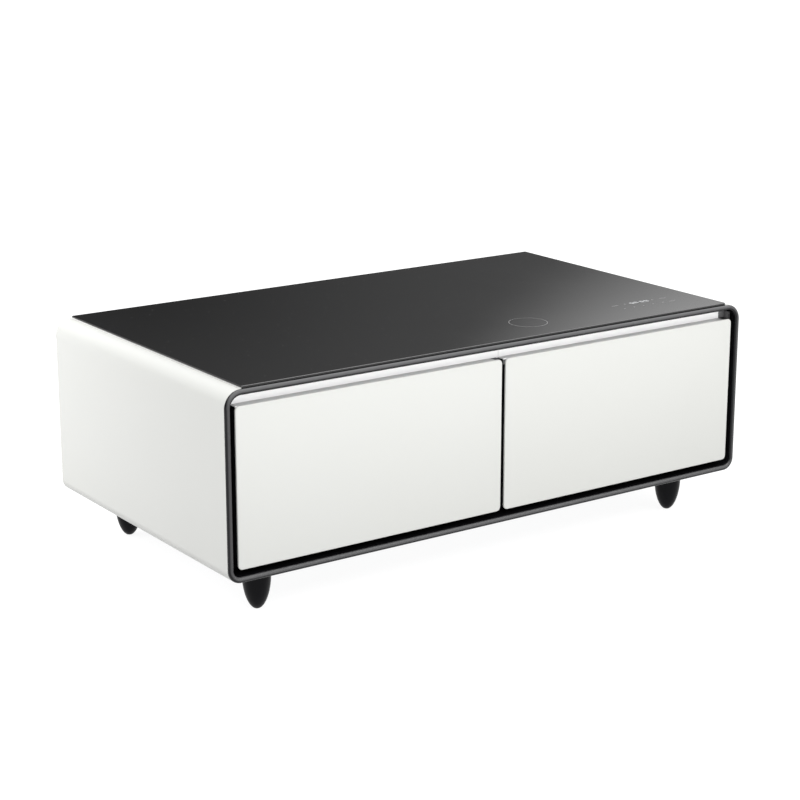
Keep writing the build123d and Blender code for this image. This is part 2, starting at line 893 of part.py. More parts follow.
def bin_form(inset, floor):
    """Tapered block with the outside of a bin, drawn in by a wall and a floor."""
    width = (bin_half_x - inset) * 2
    length = bin_y1 - bin_y0 - inset * 2
    plan = RectangleRounded(width, length, bin_corner - inset)
    block = extrude(plan, -(bin_depth - floor), taper=bin_draft)
    block = fillet(block.edges().group_by(Axis.Z)[0], bin_floor_round - inset)
    return Pos(mouth_middle, bin_middle_y, ledge_top) * block


def storage_bin(side):
    """Moulded bin whose rim rests on the drawer frame."""
    width = bin_half_x * 2 + bin_rim_reach * 2 - bin_gap * 2 - seat_gap * 2
    length = bin_y1 - bin_y0 + bin_rim_reach * 2 - bin_gap * 2 - seat_gap * 2
    rim = RectangleRounded(width, length, bin_corner)
    rim = Pos(mouth_middle, bin_middle_y, ledge_top) * extrude(rim, bin_rim)
    rim = fillet(rim.edges().group_by(Axis.Z)[-1], bin_rim / 2)
    mouth_length = bin_y1 - bin_y0 - bin_wall * 2
    mouth_face = RectangleRounded((bin_half_x - bin_wall) * 2, mouth_length, bin_corner - bin_wall)
    mouth_cut = Pos(mouth_middle, bin_middle_y, ledge_top) * extrude(mouth_face, bin_rim + overrun)
    body = bin_form(0, 0) + rim - bin_form(bin_wall, bin_wall) - mouth_cut
    return mirrored(body, side)


def bin_divider(side):
    """Partition that stands across one bin."""
    y0 = bin_y1 - divider_back_room - divider_thickness
    block = slab(0, half_width, y0, y0 + divider_thickness, bin_bottom - overrun, ledge_top - divider_drop)
    return mirrored(bin_form(bin_wall + seat_gap, bin_wall + seat_gap) & block, side)


def drawer_lamps():
    """Light bars in the roofs of the compartments."""
    y = mouth_plane + lamp_setback
    z = mouth_z1 - liner_wall
    face = Pos(y, z - lamp_height / 2) * Rectangle(lamp_width, lamp_height)
    face = chamfer(face.vertices().group_by(Axis.Y)[0], lamp_bevel)
    lamp = along(face, mouth_middle - lamp_length / 2, mouth_middle + lamp_length / 2)
    return [lamp, mirror(lamp, about=Plane.YZ)]


# Cooling machine

def stub_places():
    """Pipe stubs of the right-hand cold plate, seen from the front."""
    z = mouth_z1 - liner_wall - plate_drop - channel_margin
    return [(mouth_middle + stub_spacing / 2 * i, z) for i in (-1, 1)]


def pipe_bore(x, z):
    """Clearance bore for a pipe stub through the liner, the foam and the bulkhead."""
    y1 = bulkhead_plane + bulkhead_sheet + overrun
    y0 = mouth_plane + liner_depth - liner_wall - overrun
    return upright(Pos(x, z) * Circle(stub_radius + stub_play), y0, y1)


plate_back = mouth_plane + liner_depth - liner_wall - seat_gap
stub_end = bulkhead_plane + bulkhead_sheet + stub_reach


def channel_path():
    """Serpentine of the cold plate's refrigerant channel, about the plate's middle."""
    pitch = (plate_height - channel_margin * 2) / (channel_runs - 1)
    reach = plate_width / 2 - channel_margin - pitch / 2
    lines = []
    for i in range(channel_runs):
        z = plate_height / 2 - channel_margin - pitch * i
        lines.append(Line((-reach, z), (reach, z)))
        if i < channel_runs - 1:
            end = reach if i % 2 == 0 else -reach
            bulge = end + pitch / 2 * (1 if i % 2 == 0 else -1)
            lines.append(ThreePointArc((end, z), (bulge, z - pitch / 2), (end, z - pitch)))
    return lines


def cold_plate(side):
    """Evaporator plate on the back of a liner: sheet, raised channel and two pipe stubs."""
    z1 = mouth_z1 - liner_wall - plate_drop
    z_middle = z1 - plate_height / 2
    plate_x0 = mouth_middle - plate_width / 2
    plate = rounded(plate_x0, plate_x0 + plate_width, z1 - plate_height, z1, channel_margin / 2)
    body = upright(plate, plate_back - plate_sheet, plate_back)
    channel = trace(channel_path(), channel_width)
    y1 = plate_back - plate_sheet
    body += upright(Pos(mouth_middle, z_middle) * channel, y1 - channel_height, y1)
    for x, z in stub_places():
        body += upright(Pos(x, z) * Circle(stub_radius), plate_back, stub_end)
    return mirrored(body, side)


def cold_plates():
    """Both evaporator plates."""
    return [cold_plate(side) for side in sides.values()]


base_level = pan_top + grommet_below
compressor_top = base_level + base_sheet + compressor_height
port_top = compressor_top + stub_radius * 2


def grommet_places():
    """The four corners of the compressor's base plate."""
    dx = base_length / 2 - grommet_inset
    dy = base_width / 2 - grommet_inset
    return [(compressor_x + dx * i, bay_middle + dy * j) for i in (-1, 1) for j in (-1, 1)]


def port_places():
    """Pipe ports on top of the compressor: suction on the left, discharge on the right."""
    return [compressor_x - port_spacing, compressor_x + port_spacing]


def compressor():
    """Hermetic compressor: domed oval shell, weld seam, base plate, terminal cover and two ports."""
    centre = Pos(compressor_x, bay_middle, base_level + base_sheet)
    body = extrude(Ellipse(compressor_length / 2, compressor_width / 2), compressor_height)
    body = fillet(body.edges().group_by(Axis.Z)[-1], compressor_dome)
    body = fillet(body.edges().group_by(Axis.Z)[0], compressor_foot_round)
    seam = Ellipse(compressor_length / 2 + weld_proud, compressor_width / 2 + weld_proud)
    body += Pos(0, 0, compressor_height / 2 - weld_width / 2) * extrude(seam, weld_width)
    body = centre * body
    base = extrude(RectangleRounded(base_length, base_width, base_corner), base_sheet)
    body += Pos(compressor_x, bay_middle, base_level) * base
    x1 = compressor_x - compressor_length / 2 + terminal_round
    z0 = base_level + compressor_foot_round * 2
    cover = slab(
        x1 - terminal_length, x1, bay_middle - terminal_width / 2, bay_middle + terminal_width / 2, z0,
        z0 + terminal_height,
    )
    body += fillet(cover.edges().group_by(Axis.X)[0], terminal_round)
    for x in port_places():
        port = Cylinder(stub_radius, compressor_dome, align=(Align.CENTER, Align.CENTER, Align.MIN))
        body += Pos(x, bay_middle, compressor_top - compressor_dome + stub_radius * 2) * port
    for x, y in grommet_places():
        body -= Pos(x, y, base_level) * Cylinder(grommet_neck + stud_play, overrun * 2)
    return body


def compressor_grommets():
    """Rubber bushes that carry the compressor on the floor pan."""
    low = extrude(Circle(grommet_radius) - Circle(grommet_bore), grommet_below)
    neck = Pos(0, 0, grommet_below) * extrude(Circle(grommet_neck) - Circle(grommet_bore), base_sheet)
    high_face = Circle(grommet_radius - stud_radius / 2) - Circle(grommet_bore)
    high = Pos(0, 0, grommet_below + base_sheet) * extrude(high_face, grommet_above)
    bush = low + neck + high
    return [Pos(x, y, pan_top) * bush for x, y in grommet_places()]


condenser_bottom = pan_top + condenser_lift


def condenser_path():
    """Serpentine tube of the condenser in X and Z, about the middle of the fins."""
    reach = condenser_length / 2 + fin_pitch / 2
    lines = []
    for i in range(tube_runs):
        z = condenser_height - tube_pitch / 2 - tube_pitch * i
        start, end = (-reach, reach) if i % 2 == 0 else (reach, -reach)
        lines.append(Line((start, z), (end, z)))
        if i < tube_runs - 1:
            bulge = end + tube_pitch / 2 * (1 if end > 0 else -1)
            lines.append(ThreePointArc((end, z), (bulge, z - tube_pitch / 2), (end, z - tube_pitch)))
    return lines


def condenser():
    """Finned condenser: a serpentine tube through a row of fins, on two skids."""
    place = Plane((condenser_x, bay_middle, condenser_bottom), x_dir=(1, 0, 0), z_dir=(0, -1, 0))
    path = Wire([place * line for line in condenser_path()])
    x0 = condenser_x - condenser_length / 2 - fin_pitch / 2
    z0 = condenser_bottom + condenser_height - tube_pitch / 2
    ring = Plane((x0, bay_middle, z0), x_dir=(0, 1, 0), z_dir=(1, 0, 0)) * Circle(tube_radius)
    body = sweep(ring, path)
    x0, x1 = condenser_x - condenser_length / 2, condenser_x + condenser_length / 2
    y0, y1 = bay_middle - condenser_width / 2, bay_middle + condenser_width / 2
    top = condenser_bottom + condenser_height
    for i in range(fin_count):
        x = x0 + fin_pitch * i
        body += slab(x - fin_sheet / 2, x + fin_sheet / 2, y0, y1, condenser_bottom, top)
    skid = slab(x0 - fin_sheet / 2, x1 + fin_sheet / 2, 0, skid_width, pan_top, condenser_bottom)
    body += Pos(0, y0 + skid_width / 2, 0) * skid
    body += Pos(0, y1 - skid_width - skid_width / 2, 0) * skid
    return body


fan_z = pan_top + fan_side / 2 + condenser_lift


def facing_x(x, z_offset=0):
    """Plane through the fan's axis that faces +X."""
    return Plane((x, bay_middle, fan_z + z_offset), x_dir=(0, 1, 0), z_dir=(1, 0, 0))


def fan_housing():
    """Square fan frame on a foot, with struts to the motor cup and the bearing bore in it."""
    square = RectangleRounded(fan_side, fan_side, fan_corner) - Circle(fan_bore)
    body = extrude(facing_x(fan_x - fan_depth / 2) * square, fan_depth)
    back_x = fan_x + fan_depth / 2 - fan_motor_wall
    cup = extrude(facing_x(back_x) * Circle(fan_hub), fan_motor_wall)
    for i in range(strut_count):
        turn = 360 / strut_count * i + strut_turn
        strut = Rot(0, 0, turn) * Pos(fan_bore / 2 + fan_hub / 4, 0) * Rectangle(fan_bore, strut_width)
        cup += extrude(facing_x(back_x) * strut, fan_motor_wall)
    clear = Circle(fan_bore + fan_corner)
    body += cup & extrude(facing_x(back_x - overrun) * clear, fan_depth)
    body -= extrude(facing_x(back_x - overrun) * Circle(shaft_radius + shaft_play), fan_depth)
    half = fan_side / 2
    x0, x1 = fan_x - fan_depth / 2, fan_x + fan_depth / 2
    foot_block = slab(x0, x1, bay_middle - half, bay_middle + half, pan_top, fan_z - half + fan_corner * 2)
    return body + (foot_block - extrude(facing_x(fan_x - fan_depth) * Circle(half), fan_depth * 2))


def blade():
    """One fan blade: a thin plate that twists from a steep root to a flatter tip."""
    tip = fan_bore - blade_tip_gap
    root = fan_hub - blade_thickness
    ends = ((root, blade_root_chord, blade_root_pitch), (tip, blade_tip_chord, blade_tip_pitch))
    sections = []
    for radius, chord, pitch in ends:
        lean = (sin(radians(pitch)), cos(radians(pitch)), 0)
        plane = Plane((0, 0, radius), x_dir=lean, z_dir=(0, 0, 1))
        sections.append(plane * Rectangle(chord, blade_thickness))
    return loft(sections)


def fan_rotor():
    """Fan rotor: hub, twisted blades and the shaft that turns in the housing."""
    hub_x0 = fan_x + fan_depth / 2 - fan_motor_wall - seat_gap - fan_hub_depth
    hub = extrude(facing_x(hub_x0) * Circle(fan_hub), fan_hub_depth)
    hub = fillet(hub.edges().group_by(Axis.X)[0], stud_radius / 2)
    middle = hub_x0 + fan_hub_depth / 2
    for i in range(blade_count):
        hub += Pos(middle, bay_middle, fan_z) * Rot(360 / blade_count * i, 0, 0) * blade()
    hub &= extrude(facing_x(hub_x0) * Circle(fan_bore), fan_hub_depth)
    shaft = extrude(facing_x(middle) * Circle(shaft_radius), fan_hub_depth / 2 + fan_motor_wall)
    return hub + shaft


drier_z0 = pan_top + drier_lift


def filter_drier():
    """Copper filter drier: a cylinder drawn down to a pipe at both ends."""
    points = [
        (0, 0),
        (line_radius, 0),
        (drier_radius, drier_taper),
        (drier_radius, drier_length - drier_taper),
        (line_radius, drier_length),
        (0, drier_length),
    ]
    body = revolve(Plane.XZ * make_face(Polyline(*points, close=True)), Axis.Z)
    return Pos(drier_x, bay_middle, drier_z0) * body


def suction_line():
    """Header between both cold plates' inner stubs, with a tee and a branch to the suction port."""
    x_port = port_places()[0]
    y = stub_end + line_bend_small + line_radius
    near, z = stub_places()[0]
    header_points = [(-near, stub_end, z), (-near, y, z), (near, y, z), (near, stub_end, z)]
    header = tube(header_points, line_bend_small, line_radius)
    sleeve_plane = Plane((x_port - tee_length / 2, y, z), x_dir=(0, 1, 0), z_dir=(1, 0, 0))
    sleeve = extrude(sleeve_plane * Circle(line_radius + tee_wall), tee_length)
    branch_points = [(x_port, y, z), (x_port, bay_middle, z), (x_port, bay_middle, port_top)]
    return header + sleeve + tube(branch_points, line_bend, line_radius)


def discharge_line():
    """Pipe from the compressor's discharge port to the condenser's upper end."""
    x_port = port_places()[1]
    x_end = condenser_x - condenser_length / 2 - fin_pitch / 2
    z_end = condenser_bottom + condenser_height - tube_pitch / 2
    top = port_top + line_rise
    points = [
        (x_port, bay_middle, port_top),
        (x_port, bay_middle, top),
        (x_end - fin_pitch, bay_middle, top),
        (x_end - fin_pitch, bay_middle, z_end),
        (x_end, bay_middle, z_end),
    ]
    return tube(points, [line_bend, line_bend, line_bend_small / 2], line_radius)


def liquid_line():
    """Pipe from the condenser's lower end round its front to the filter drier."""
    x0 = condenser_x - condenser_length / 2 - fin_pitch / 2
    z0 = condenser_bottom + tube_pitch / 2
    y_side = bay_middle - condenser_width / 2 - line_bend_small
    lower = [
        (x0, bay_middle, z0),
        (x0 - fin_pitch, bay_middle, z0),
        (x0 - fin_pitch, y_side, z0),
        (drier_x, y_side, z0),
        (drier_x, bay_middle, z0),
        (drier_x, bay_middle, drier_z0),
    ]
    return tube(lower, [line_bend_small / 2, line_bend_small, line_bend, line_bend_small], line_radius)


def capillaries():
    """Two thin pipes from the filter drier's top to the outer stubs of both cold plates."""
    y = stub_end + line_bend_small + capillary_radius
    far, stub_z = stub_places()[1]
    pipes = []
    for side in sides.values():
        x0 = drier_x + capillary_offset * side
        z = stub_z - capillary_drop + capillary_pitch / 2 * side
        points = [
            (x0, bay_middle, drier_z0 + drier_length),
            (x0, bay_middle, z),
            (x0, y, z),
            (far * side, y, z),
            (far * side, y, stub_z),
            (far * side, stub_end, stub_z),
        ]
        pipes.append(tube(points, line_bend_small - capillary_radius, capillary_radius))
    return pipes


def control_box():
    """Plastic box of the power and control board, with a grooved lid and a foot flange."""
    x0, x1 = control_x - control_length / 2, control_x + control_length / 2
    y0, y1 = bay_middle - control_width / 2, bay_middle + control_width / 2
    z1 = pan_top + control_height
    body = fillet(slab(x0, x1, y0, y1, pan_top, z1).edges().filter_by(Axis.Z), control_corner)
    body = chamfer(body.edges().group_by(Axis.Z)[-1], control_wall)
    flange = slab(x0 - control_corner * 2, x1 + control_corner * 2, y0, y1, pan_top, pan_top + control_wall)
    body += fillet(flange.edges().filter_by(Axis.Z), control_corner)
    for place in GridLocations(groove_pitch, 0, control_grooves, 1).locations:
        x = control_x + place.position.X
        body -= slab(x - control_wall / 2, x + control_wall / 2, y0 + control_corner, y1 - control_corner,
                     z1 - control_groove, z1 + overrun)
    return body


# Back

grille_z0 = shell_bottom + grille_low
grille_z1 = grille_z0 + grille_height
inlet_z = shell_bottom + inlet_height


def back_panel():
    """Sheet back with a window for the grille, a cut-out for the mains inlet and screw holes."""
    face = inner_outline(shell_bottom + sheet + seat_gap, rim_level)
    body = upright(face, flange_plane, back_face)
    half = grille_half - grille_frame
    window = rounded(-half, half, grille_z0 + grille_frame, grille_z1 - grille_frame, grille_corner)
    body -= upright(window, flange_plane - overrun, back)
    half_w = inlet_width / 2 + seat_gap
    half_t = inlet_tall / 2 + seat_gap
    hole = rectangle(inlet_x - half_w, inlet_x + half_w, inlet_z - half_t, inlet_z + half_t)
    body -= upright(hole, flange_plane - overrun, back)
    for x, z in all_screw_places():
        body -= screw_hole(x, z)
    return body


def all_screw_places():
    """Screws round the whole back."""
    right = side_screw_places()
    left = [(-x, z) for x, z in right]
    return right + left + floor_screw_places()


def rear_grille():
    """Moulded vent grille: a frame on the panel, tilted louvres and upright ribs."""
    edge = grille_half - grille_frame - seat_gap
    z0 = grille_z0 + grille_frame + seat_gap
    z1 = grille_z1 - grille_frame - seat_gap
    frame_face = rounded(-grille_half, grille_half, grille_z0, grille_z1, grille_corner)
    open_edge = edge - grille_wall
    opening = rounded(-open_edge, open_edge, z0 + grille_wall, z1 - grille_wall, grille_corner)
    collar = rounded(-edge, edge, z0, z1, grille_corner) - opening
    y0 = back_face - grille_reach
    body = upright(frame_face - opening, back_face, back_face + grille_wall)
    body += upright(collar, y0, back_face)
    middle = (z0 + z1) / 2
    y_middle = (y0 + back_face) / 2
    start = middle - louvre_pitch * (louvre_count - 1) / 2
    lattice = Part()
    for i in range(louvre_count):
        z = start + louvre_pitch * i
        blade_face = Pos(y_middle, z) * Rot(0, 0, -louvre_tilt) * Rectangle(louvre_chord, louvre_sheet)
        lattice += along(blade_face, -edge, edge)
    for place in GridLocations((edge * 2) / (grille_ribs + 1), 0, grille_ribs, 1).locations:
        x = place.position.X
        lattice += slab(x - grille_wall / 2, x + grille_wall / 2, y0, back_face, z0, z1)
    trim = grille_wall / 2
    inside = rounded(trim - edge, edge - trim, z0 + trim, z1 - trim, grille_corner)
    return body + (lattice & upright(inside, y0, back_face))


def back_screws():
    """Pan-head screws of the back panel."""
    head = extrude(Circle(screw_head), screw_head_height)
    head = fillet(head.edges().group_by(Axis.Z)[-1], screw_head_height / 2)
    head -= Pos(0, 0, screw_head_height / 2) * extrude(RegularPolygon(screw_head / 2, 6), screw_head_height)
    shank = extrude(Circle(screw_radius), -screw_length)
    screw = head + shank
    screws = []
    for x, z in all_screw_places():
        screws.append(Plane((x, back_face, z), x_dir=(1, 0, 0), z_dir=(0, 1, 0)) * screw)
    return screws


def power_inlet():
    """Mains inlet: flanged body, recess for the plug and three blades."""
    half_w, half_t = inlet_width / 2, inlet_tall / 2
    body_face = rounded(inlet_x - half_w, inlet_x + half_w, inlet_z - half_t, inlet_z + half_t, inlet_flange)
    flange_w, flange_t = half_w + inlet_flange, half_t + inlet_flange
    flange_face = rounded(
        inlet_x - flange_w, inlet_x + flange_w, inlet_z - flange_t, inlet_z + flange_t, inlet_flange
    )
    y1 = back_face + inlet_flange_sheet
    body = upright(body_face, y1 - inlet_length, y1) + upright(flange_face, back_face, y1)
    recess_w, recess_t = inlet_recess_width / 2, inlet_recess_tall / 2
    recess = rectangle(inlet_x - recess_w, inlet_x + recess_w, inlet_z - recess_t, inlet_z + recess_t)
    recess = chamfer(recess.vertices().group_by(Axis.Y)[0], inlet_flange)
    body -= upright(recess, y1 - inlet_recess, y1)
    for i in (-1, 0, 1):
        z = inlet_z - pin_drop + (pin_earth if i == 0 else 0)
        x = inlet_x + pin_spacing * i
        pin = rectangle(x - pin_width / 2, x + pin_width / 2, z - pin_tall / 2, z + pin_tall / 2)
        body += upright(pin, y1 - inlet_recess, y1 - inlet_recess + pin_length)
    return body


# Every piece under its node's name

pieces = {
    "left_side_shell": side_shell(-1),
    "right_side_shell": side_shell(1),
    "base_pan": base_pan(),
    "back_panel": back_panel(),
    "rear_grille": rear_grille(),
    "back_screws": back_screws(),
    "front_moulding": front_moulding(),
    "front_well": front_well(),
    "glass_top": glass_top(),
    "glass_tape": glass_tape(),
    "top_tray": top_tray(),
    "charging_coil": charging_coil(),
    "charger_board": charger_board(),
    "touch_board": touch_board(),
    "board_standoffs": board_standoffs(),
    "cabinet_foam": cabinet_foam(),
    "bulkhead": bulkhead(),
    "drawer_lamps": drawer_lamps(),
    "cold_plates": cold_plates(),
    "compressor": compressor(),
    "compressor_grommets": compressor_grommets(),
    "condenser": condenser(),
    "fan_housing": fan_housing(),
    "fan_rotor": fan_rotor(),
    "filter_drier": filter_drier(),
    "suction_line": suction_line(),
    "discharge_line": discharge_line(),
    "liquid_line": liquid_line(),
    "capillaries": capillaries(),
    "control_box": control_box(),
    "power_inlet": power_inlet(),
    "foot_studs": foot_studs(),
    "foot_anchors": foot_anchors(),
    "outer_rails": rails("outer", -1) + rails("outer", 1),
}
for name, (foot_x, foot_y) in foot_places().items():
    pieces[name] = foot(foot_x, foot_y)
for name, side in sides.items():
    pieces[name + "_liner"] = liner(side)
    pieces[name + "_middle_rails"] = rails("middle", side)
    pieces[name + "_inner_rails"] = rails("inner", side)
    pieces[name + "_front_panel"] = front_panel(side)
    pieces[name + "_pull"] = pull(side)
    pieces[name + "_pull_cap"] = pull_cap(side)
    pieces[name + "_door_core"] = door_core(side)
    pieces[name + "_door_gasket"] = door_gasket(side)
    pieces[name + "_drawer_frame"] = drawer_frame(side)
    pieces[name + "_bin"] = storage_bin(side)
    pieces[name + "_bin_divider"] = bin_divider(side)

os.makedirs("parts", exist_ok=True)
for name, piece in pieces.items():
    solids = piece.solids() if not isinstance(piece, list) else [s for item in piece for s in item.solids()]
    shape = solids[0] if len(solids) == 1 else Compound(children=solids)
    export_step(shape, "parts/" + name + ".step")
print(len(pieces), "nodes")
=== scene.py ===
# %% [markdown]
# # A refrigerated coffee table, dressed in Blender
#
# The table is a low cooled cabinet: white painted steel wraps round both sides, a sheet of black
# glass lies on top, and two chilled drawers slide out of a black surround at the front. Its
# construction comes ready made, at its real size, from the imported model. This script gives it its
# looks: smooth surfaces where the eye goes first, a finish for every part, light, and a camera.
#
# Every piece that is made here is a surface worked out with numpy. Most of them are sets of rings
# of points, and one helper joins each ring to the next.

import bmesh
import bpy
import numpy as np
from mathutils import Matrix, Vector


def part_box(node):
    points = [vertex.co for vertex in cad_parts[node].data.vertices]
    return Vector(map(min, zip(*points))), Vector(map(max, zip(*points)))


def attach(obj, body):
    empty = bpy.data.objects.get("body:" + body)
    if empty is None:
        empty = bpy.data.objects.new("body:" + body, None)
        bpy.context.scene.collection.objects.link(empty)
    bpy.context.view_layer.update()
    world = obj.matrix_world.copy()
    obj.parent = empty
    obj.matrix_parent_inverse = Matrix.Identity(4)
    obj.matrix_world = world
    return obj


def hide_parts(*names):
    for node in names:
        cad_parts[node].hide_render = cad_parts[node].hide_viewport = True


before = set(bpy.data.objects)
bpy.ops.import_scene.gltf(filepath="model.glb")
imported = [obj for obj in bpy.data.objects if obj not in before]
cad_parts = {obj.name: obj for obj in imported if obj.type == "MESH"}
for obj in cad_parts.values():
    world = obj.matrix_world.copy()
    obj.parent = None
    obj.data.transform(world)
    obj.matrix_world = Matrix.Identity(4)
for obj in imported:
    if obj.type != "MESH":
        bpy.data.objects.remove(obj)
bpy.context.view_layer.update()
millimetre = 0.001

# %% [markdown]
# The camera comes before anything else, because every later choice is judged through it. A view of
# furniture in a catalogue is usually taken with a long lens from a few metres away, which keeps
# upright edges nearly parallel. The place, the turn and the lens were found by matching the corners
# of the body, the glass and the feet, so they are plain measures here. The camera's own axes are
# built from its turn about the upright axis and its tilt, and put into a matrix.

# %% Camera
camera_place = Vector((-2.4373, -3.4696, 1.4454))
camera_azimuth = np.radians(-34.968)
camera_tilt = np.radians(15.402)
image_side = 800
focal_pixels = 2022.2
sensor_width = 36.0


def camera_axes(azimuth, tilt):
    """Right, up and back of a level camera: back is (sin a cos t, -cos a cos t, sin t)."""
    right = Vector((np.cos(azimuth), np.sin(azimuth), 0.0))
    back = Vector((np.sin(azimuth) * np.cos(tilt), -np.cos(azimuth) * np.cos(tilt), np.sin(tilt)))
    return right, back.cross(right), back


camera_data = bpy.data.cameras.new("camera")
camera_data.sensor_width = sensor_width
camera_data.lens = focal_pixels / image_side * sensor_width
camera = bpy.data.objects.new("camera", camera_data)
bpy.context.scene.collection.objects.link(camera)
camera_turn = Matrix(camera_axes(camera_azimuth, camera_tilt)).transposed().to_4x4()
camera.matrix_world = Matrix.Translation(camera_place) @ camera_turn
bpy.context.scene.camera = camera
bpy.context.scene.view_settings.view_transform = "Standard"
print("lens in mm:", round(camera_data.lens, 2))

# %% [markdown]
# Most parts made here are rounded rectangles that change a little from one ring to the next: a pane
# with a bevel, a bezel, a seal. So there are two main helpers. The first gives the points of a
# rounded rectangle. The second takes a stack of rings, joins each to the next with quads, and
# closes the ends. Faces are turned outwards once the mesh is closed, and edges that are sharper
# than a chosen angle stay crisp while the rest is shaded smooth.

# %% Rings and stacks of rings
arc_steps = 12
crisp_angle = np.radians(32)
merge_distance = millimetre / 1000


def rounded_ring(x0, x1, y0, y1, low, high=None, steps=arc_steps):
    """Rounded rectangle: each corner is its centre plus radius times (cos, sin) over a quarter turn."""
    high = low if high is None else high
    side_x = np.array([1, -1, -1, 1])
    side_y = np.array([1, 1, -1, -1])
    radius = np.array([high, high, low, low])
    centre_x = np.where(side_x > 0, x1, x0) - side_x * radius
    centre_y = np.where(side_y > 0, y1, y0) - side_y * radius
    turn = np.linspace(0, np.pi / 2, steps + 1) + np.arange(4)[:, None] * np.pi / 2
    x = centre_x[:, None] + radius[:, None] * np.cos(turn)
    y = centre_y[:, None] + radius[:, None] * np.sin(turn)
    return np.stack([x.ravel(), y.ravel()], axis=-1)


def arc(centre, radius, start, end, steps=arc_steps):
    """Points of an arc: centre plus radius times (cos, sin) of evenly spaced angles in degrees."""
    turn = np.radians(np.linspace(start, end, steps + 1))
    return np.stack([centre[0] + radius * np.cos(turn), centre[1] + radius * np.sin(turn)], axis=-1)


def lift(points, axis, value):
    """Turns flat points into space: the missing coordinate on that axis gets one value."""
    return np.insert(points, axis, value, axis=1)


def stack(name, rings, closed=False, crisp=crisp_angle):
    """Mesh object from rings of equal length: quad (i, j) joins ring i to ring i + 1, ends get a cap."""
    rings = np.asarray(rings, float)
    count, length = rings.shape[:2]
    i = np.arange(count if closed else count - 1)[:, None]
    j = np.arange(length)[None, :]
    next_i = (i + 1) % count
    next_j = (j + 1) % length
    quads = np.stack(np.broadcast_arrays(
        i * length + j, i * length + next_j, next_i * length + next_j, next_i * length + j), axis=-1)
    faces = quads.reshape(-1, 4).tolist()
    if not closed:
        faces.append(list(range(length)))
        faces.append(list(range((count - 1) * length, count * length)))
    mesh = bpy.data.meshes.new(name)
    mesh.from_pydata(rings.reshape(-1, 3).tolist(), [], faces)
    return finish_mesh(name, mesh, crisp)


def finish_mesh(name, mesh, crisp=crisp_angle):
    """Merges doubles, turns faces outwards and shades all but the sharp edges smooth."""
    shape = bmesh.new()
    shape.from_mesh(mesh)
    bmesh.ops.remove_doubles(shape, verts=shape.verts, dist=merge_distance)
    bmesh.ops.recalc_face_normals(shape, faces=shape.faces)
    shape.to_mesh(mesh)
    shape.free()
    mesh.shade_smooth()
    mesh.set_sharp_from_angle(angle=crisp)
    piece = bpy.data.objects.new(name, mesh)
    bpy.context.scene.collection.objects.link(piece)
    return piece


def joined(name, pieces):
    """One object from several, with their vertices and faces put after each other."""
    shape = bmesh.new()
    for piece in pieces:
        shape.from_mesh(piece.data)
    mesh = bpy.data.meshes.new(name)
    shape.to_mesh(mesh)
    shape.free()
    for piece in pieces:
        bpy.data.objects.remove(piece)
    return finish_mesh(name, mesh)


print("ring of", len(rounded_ring(-1, 1, -1, 1, 0.2)), "points")

# %% [markdown]
# Finishes are node materials. Each starts as a Principled shader whose fixed values sit on the
# shader's own sockets. Variation is added by small helpers: some give a pattern over Object
# coordinates, or over the way that the surface faces, some bend a colour or a roughness by it, and
# one turns it into fine bumps. Two more take both steps at once with a noise: patches of another
# colour, and grain. Object coordinates are in metres here, so a noise scale of 800 makes grains of
# about a millimetre.

# %% Material helpers
range_sockets = ("From Min", "From Max", "To Min", "To Max")
noise_reach = (0.25, 0.75)
upward = (0, 0, 1)
downward = (0, 0, -1)


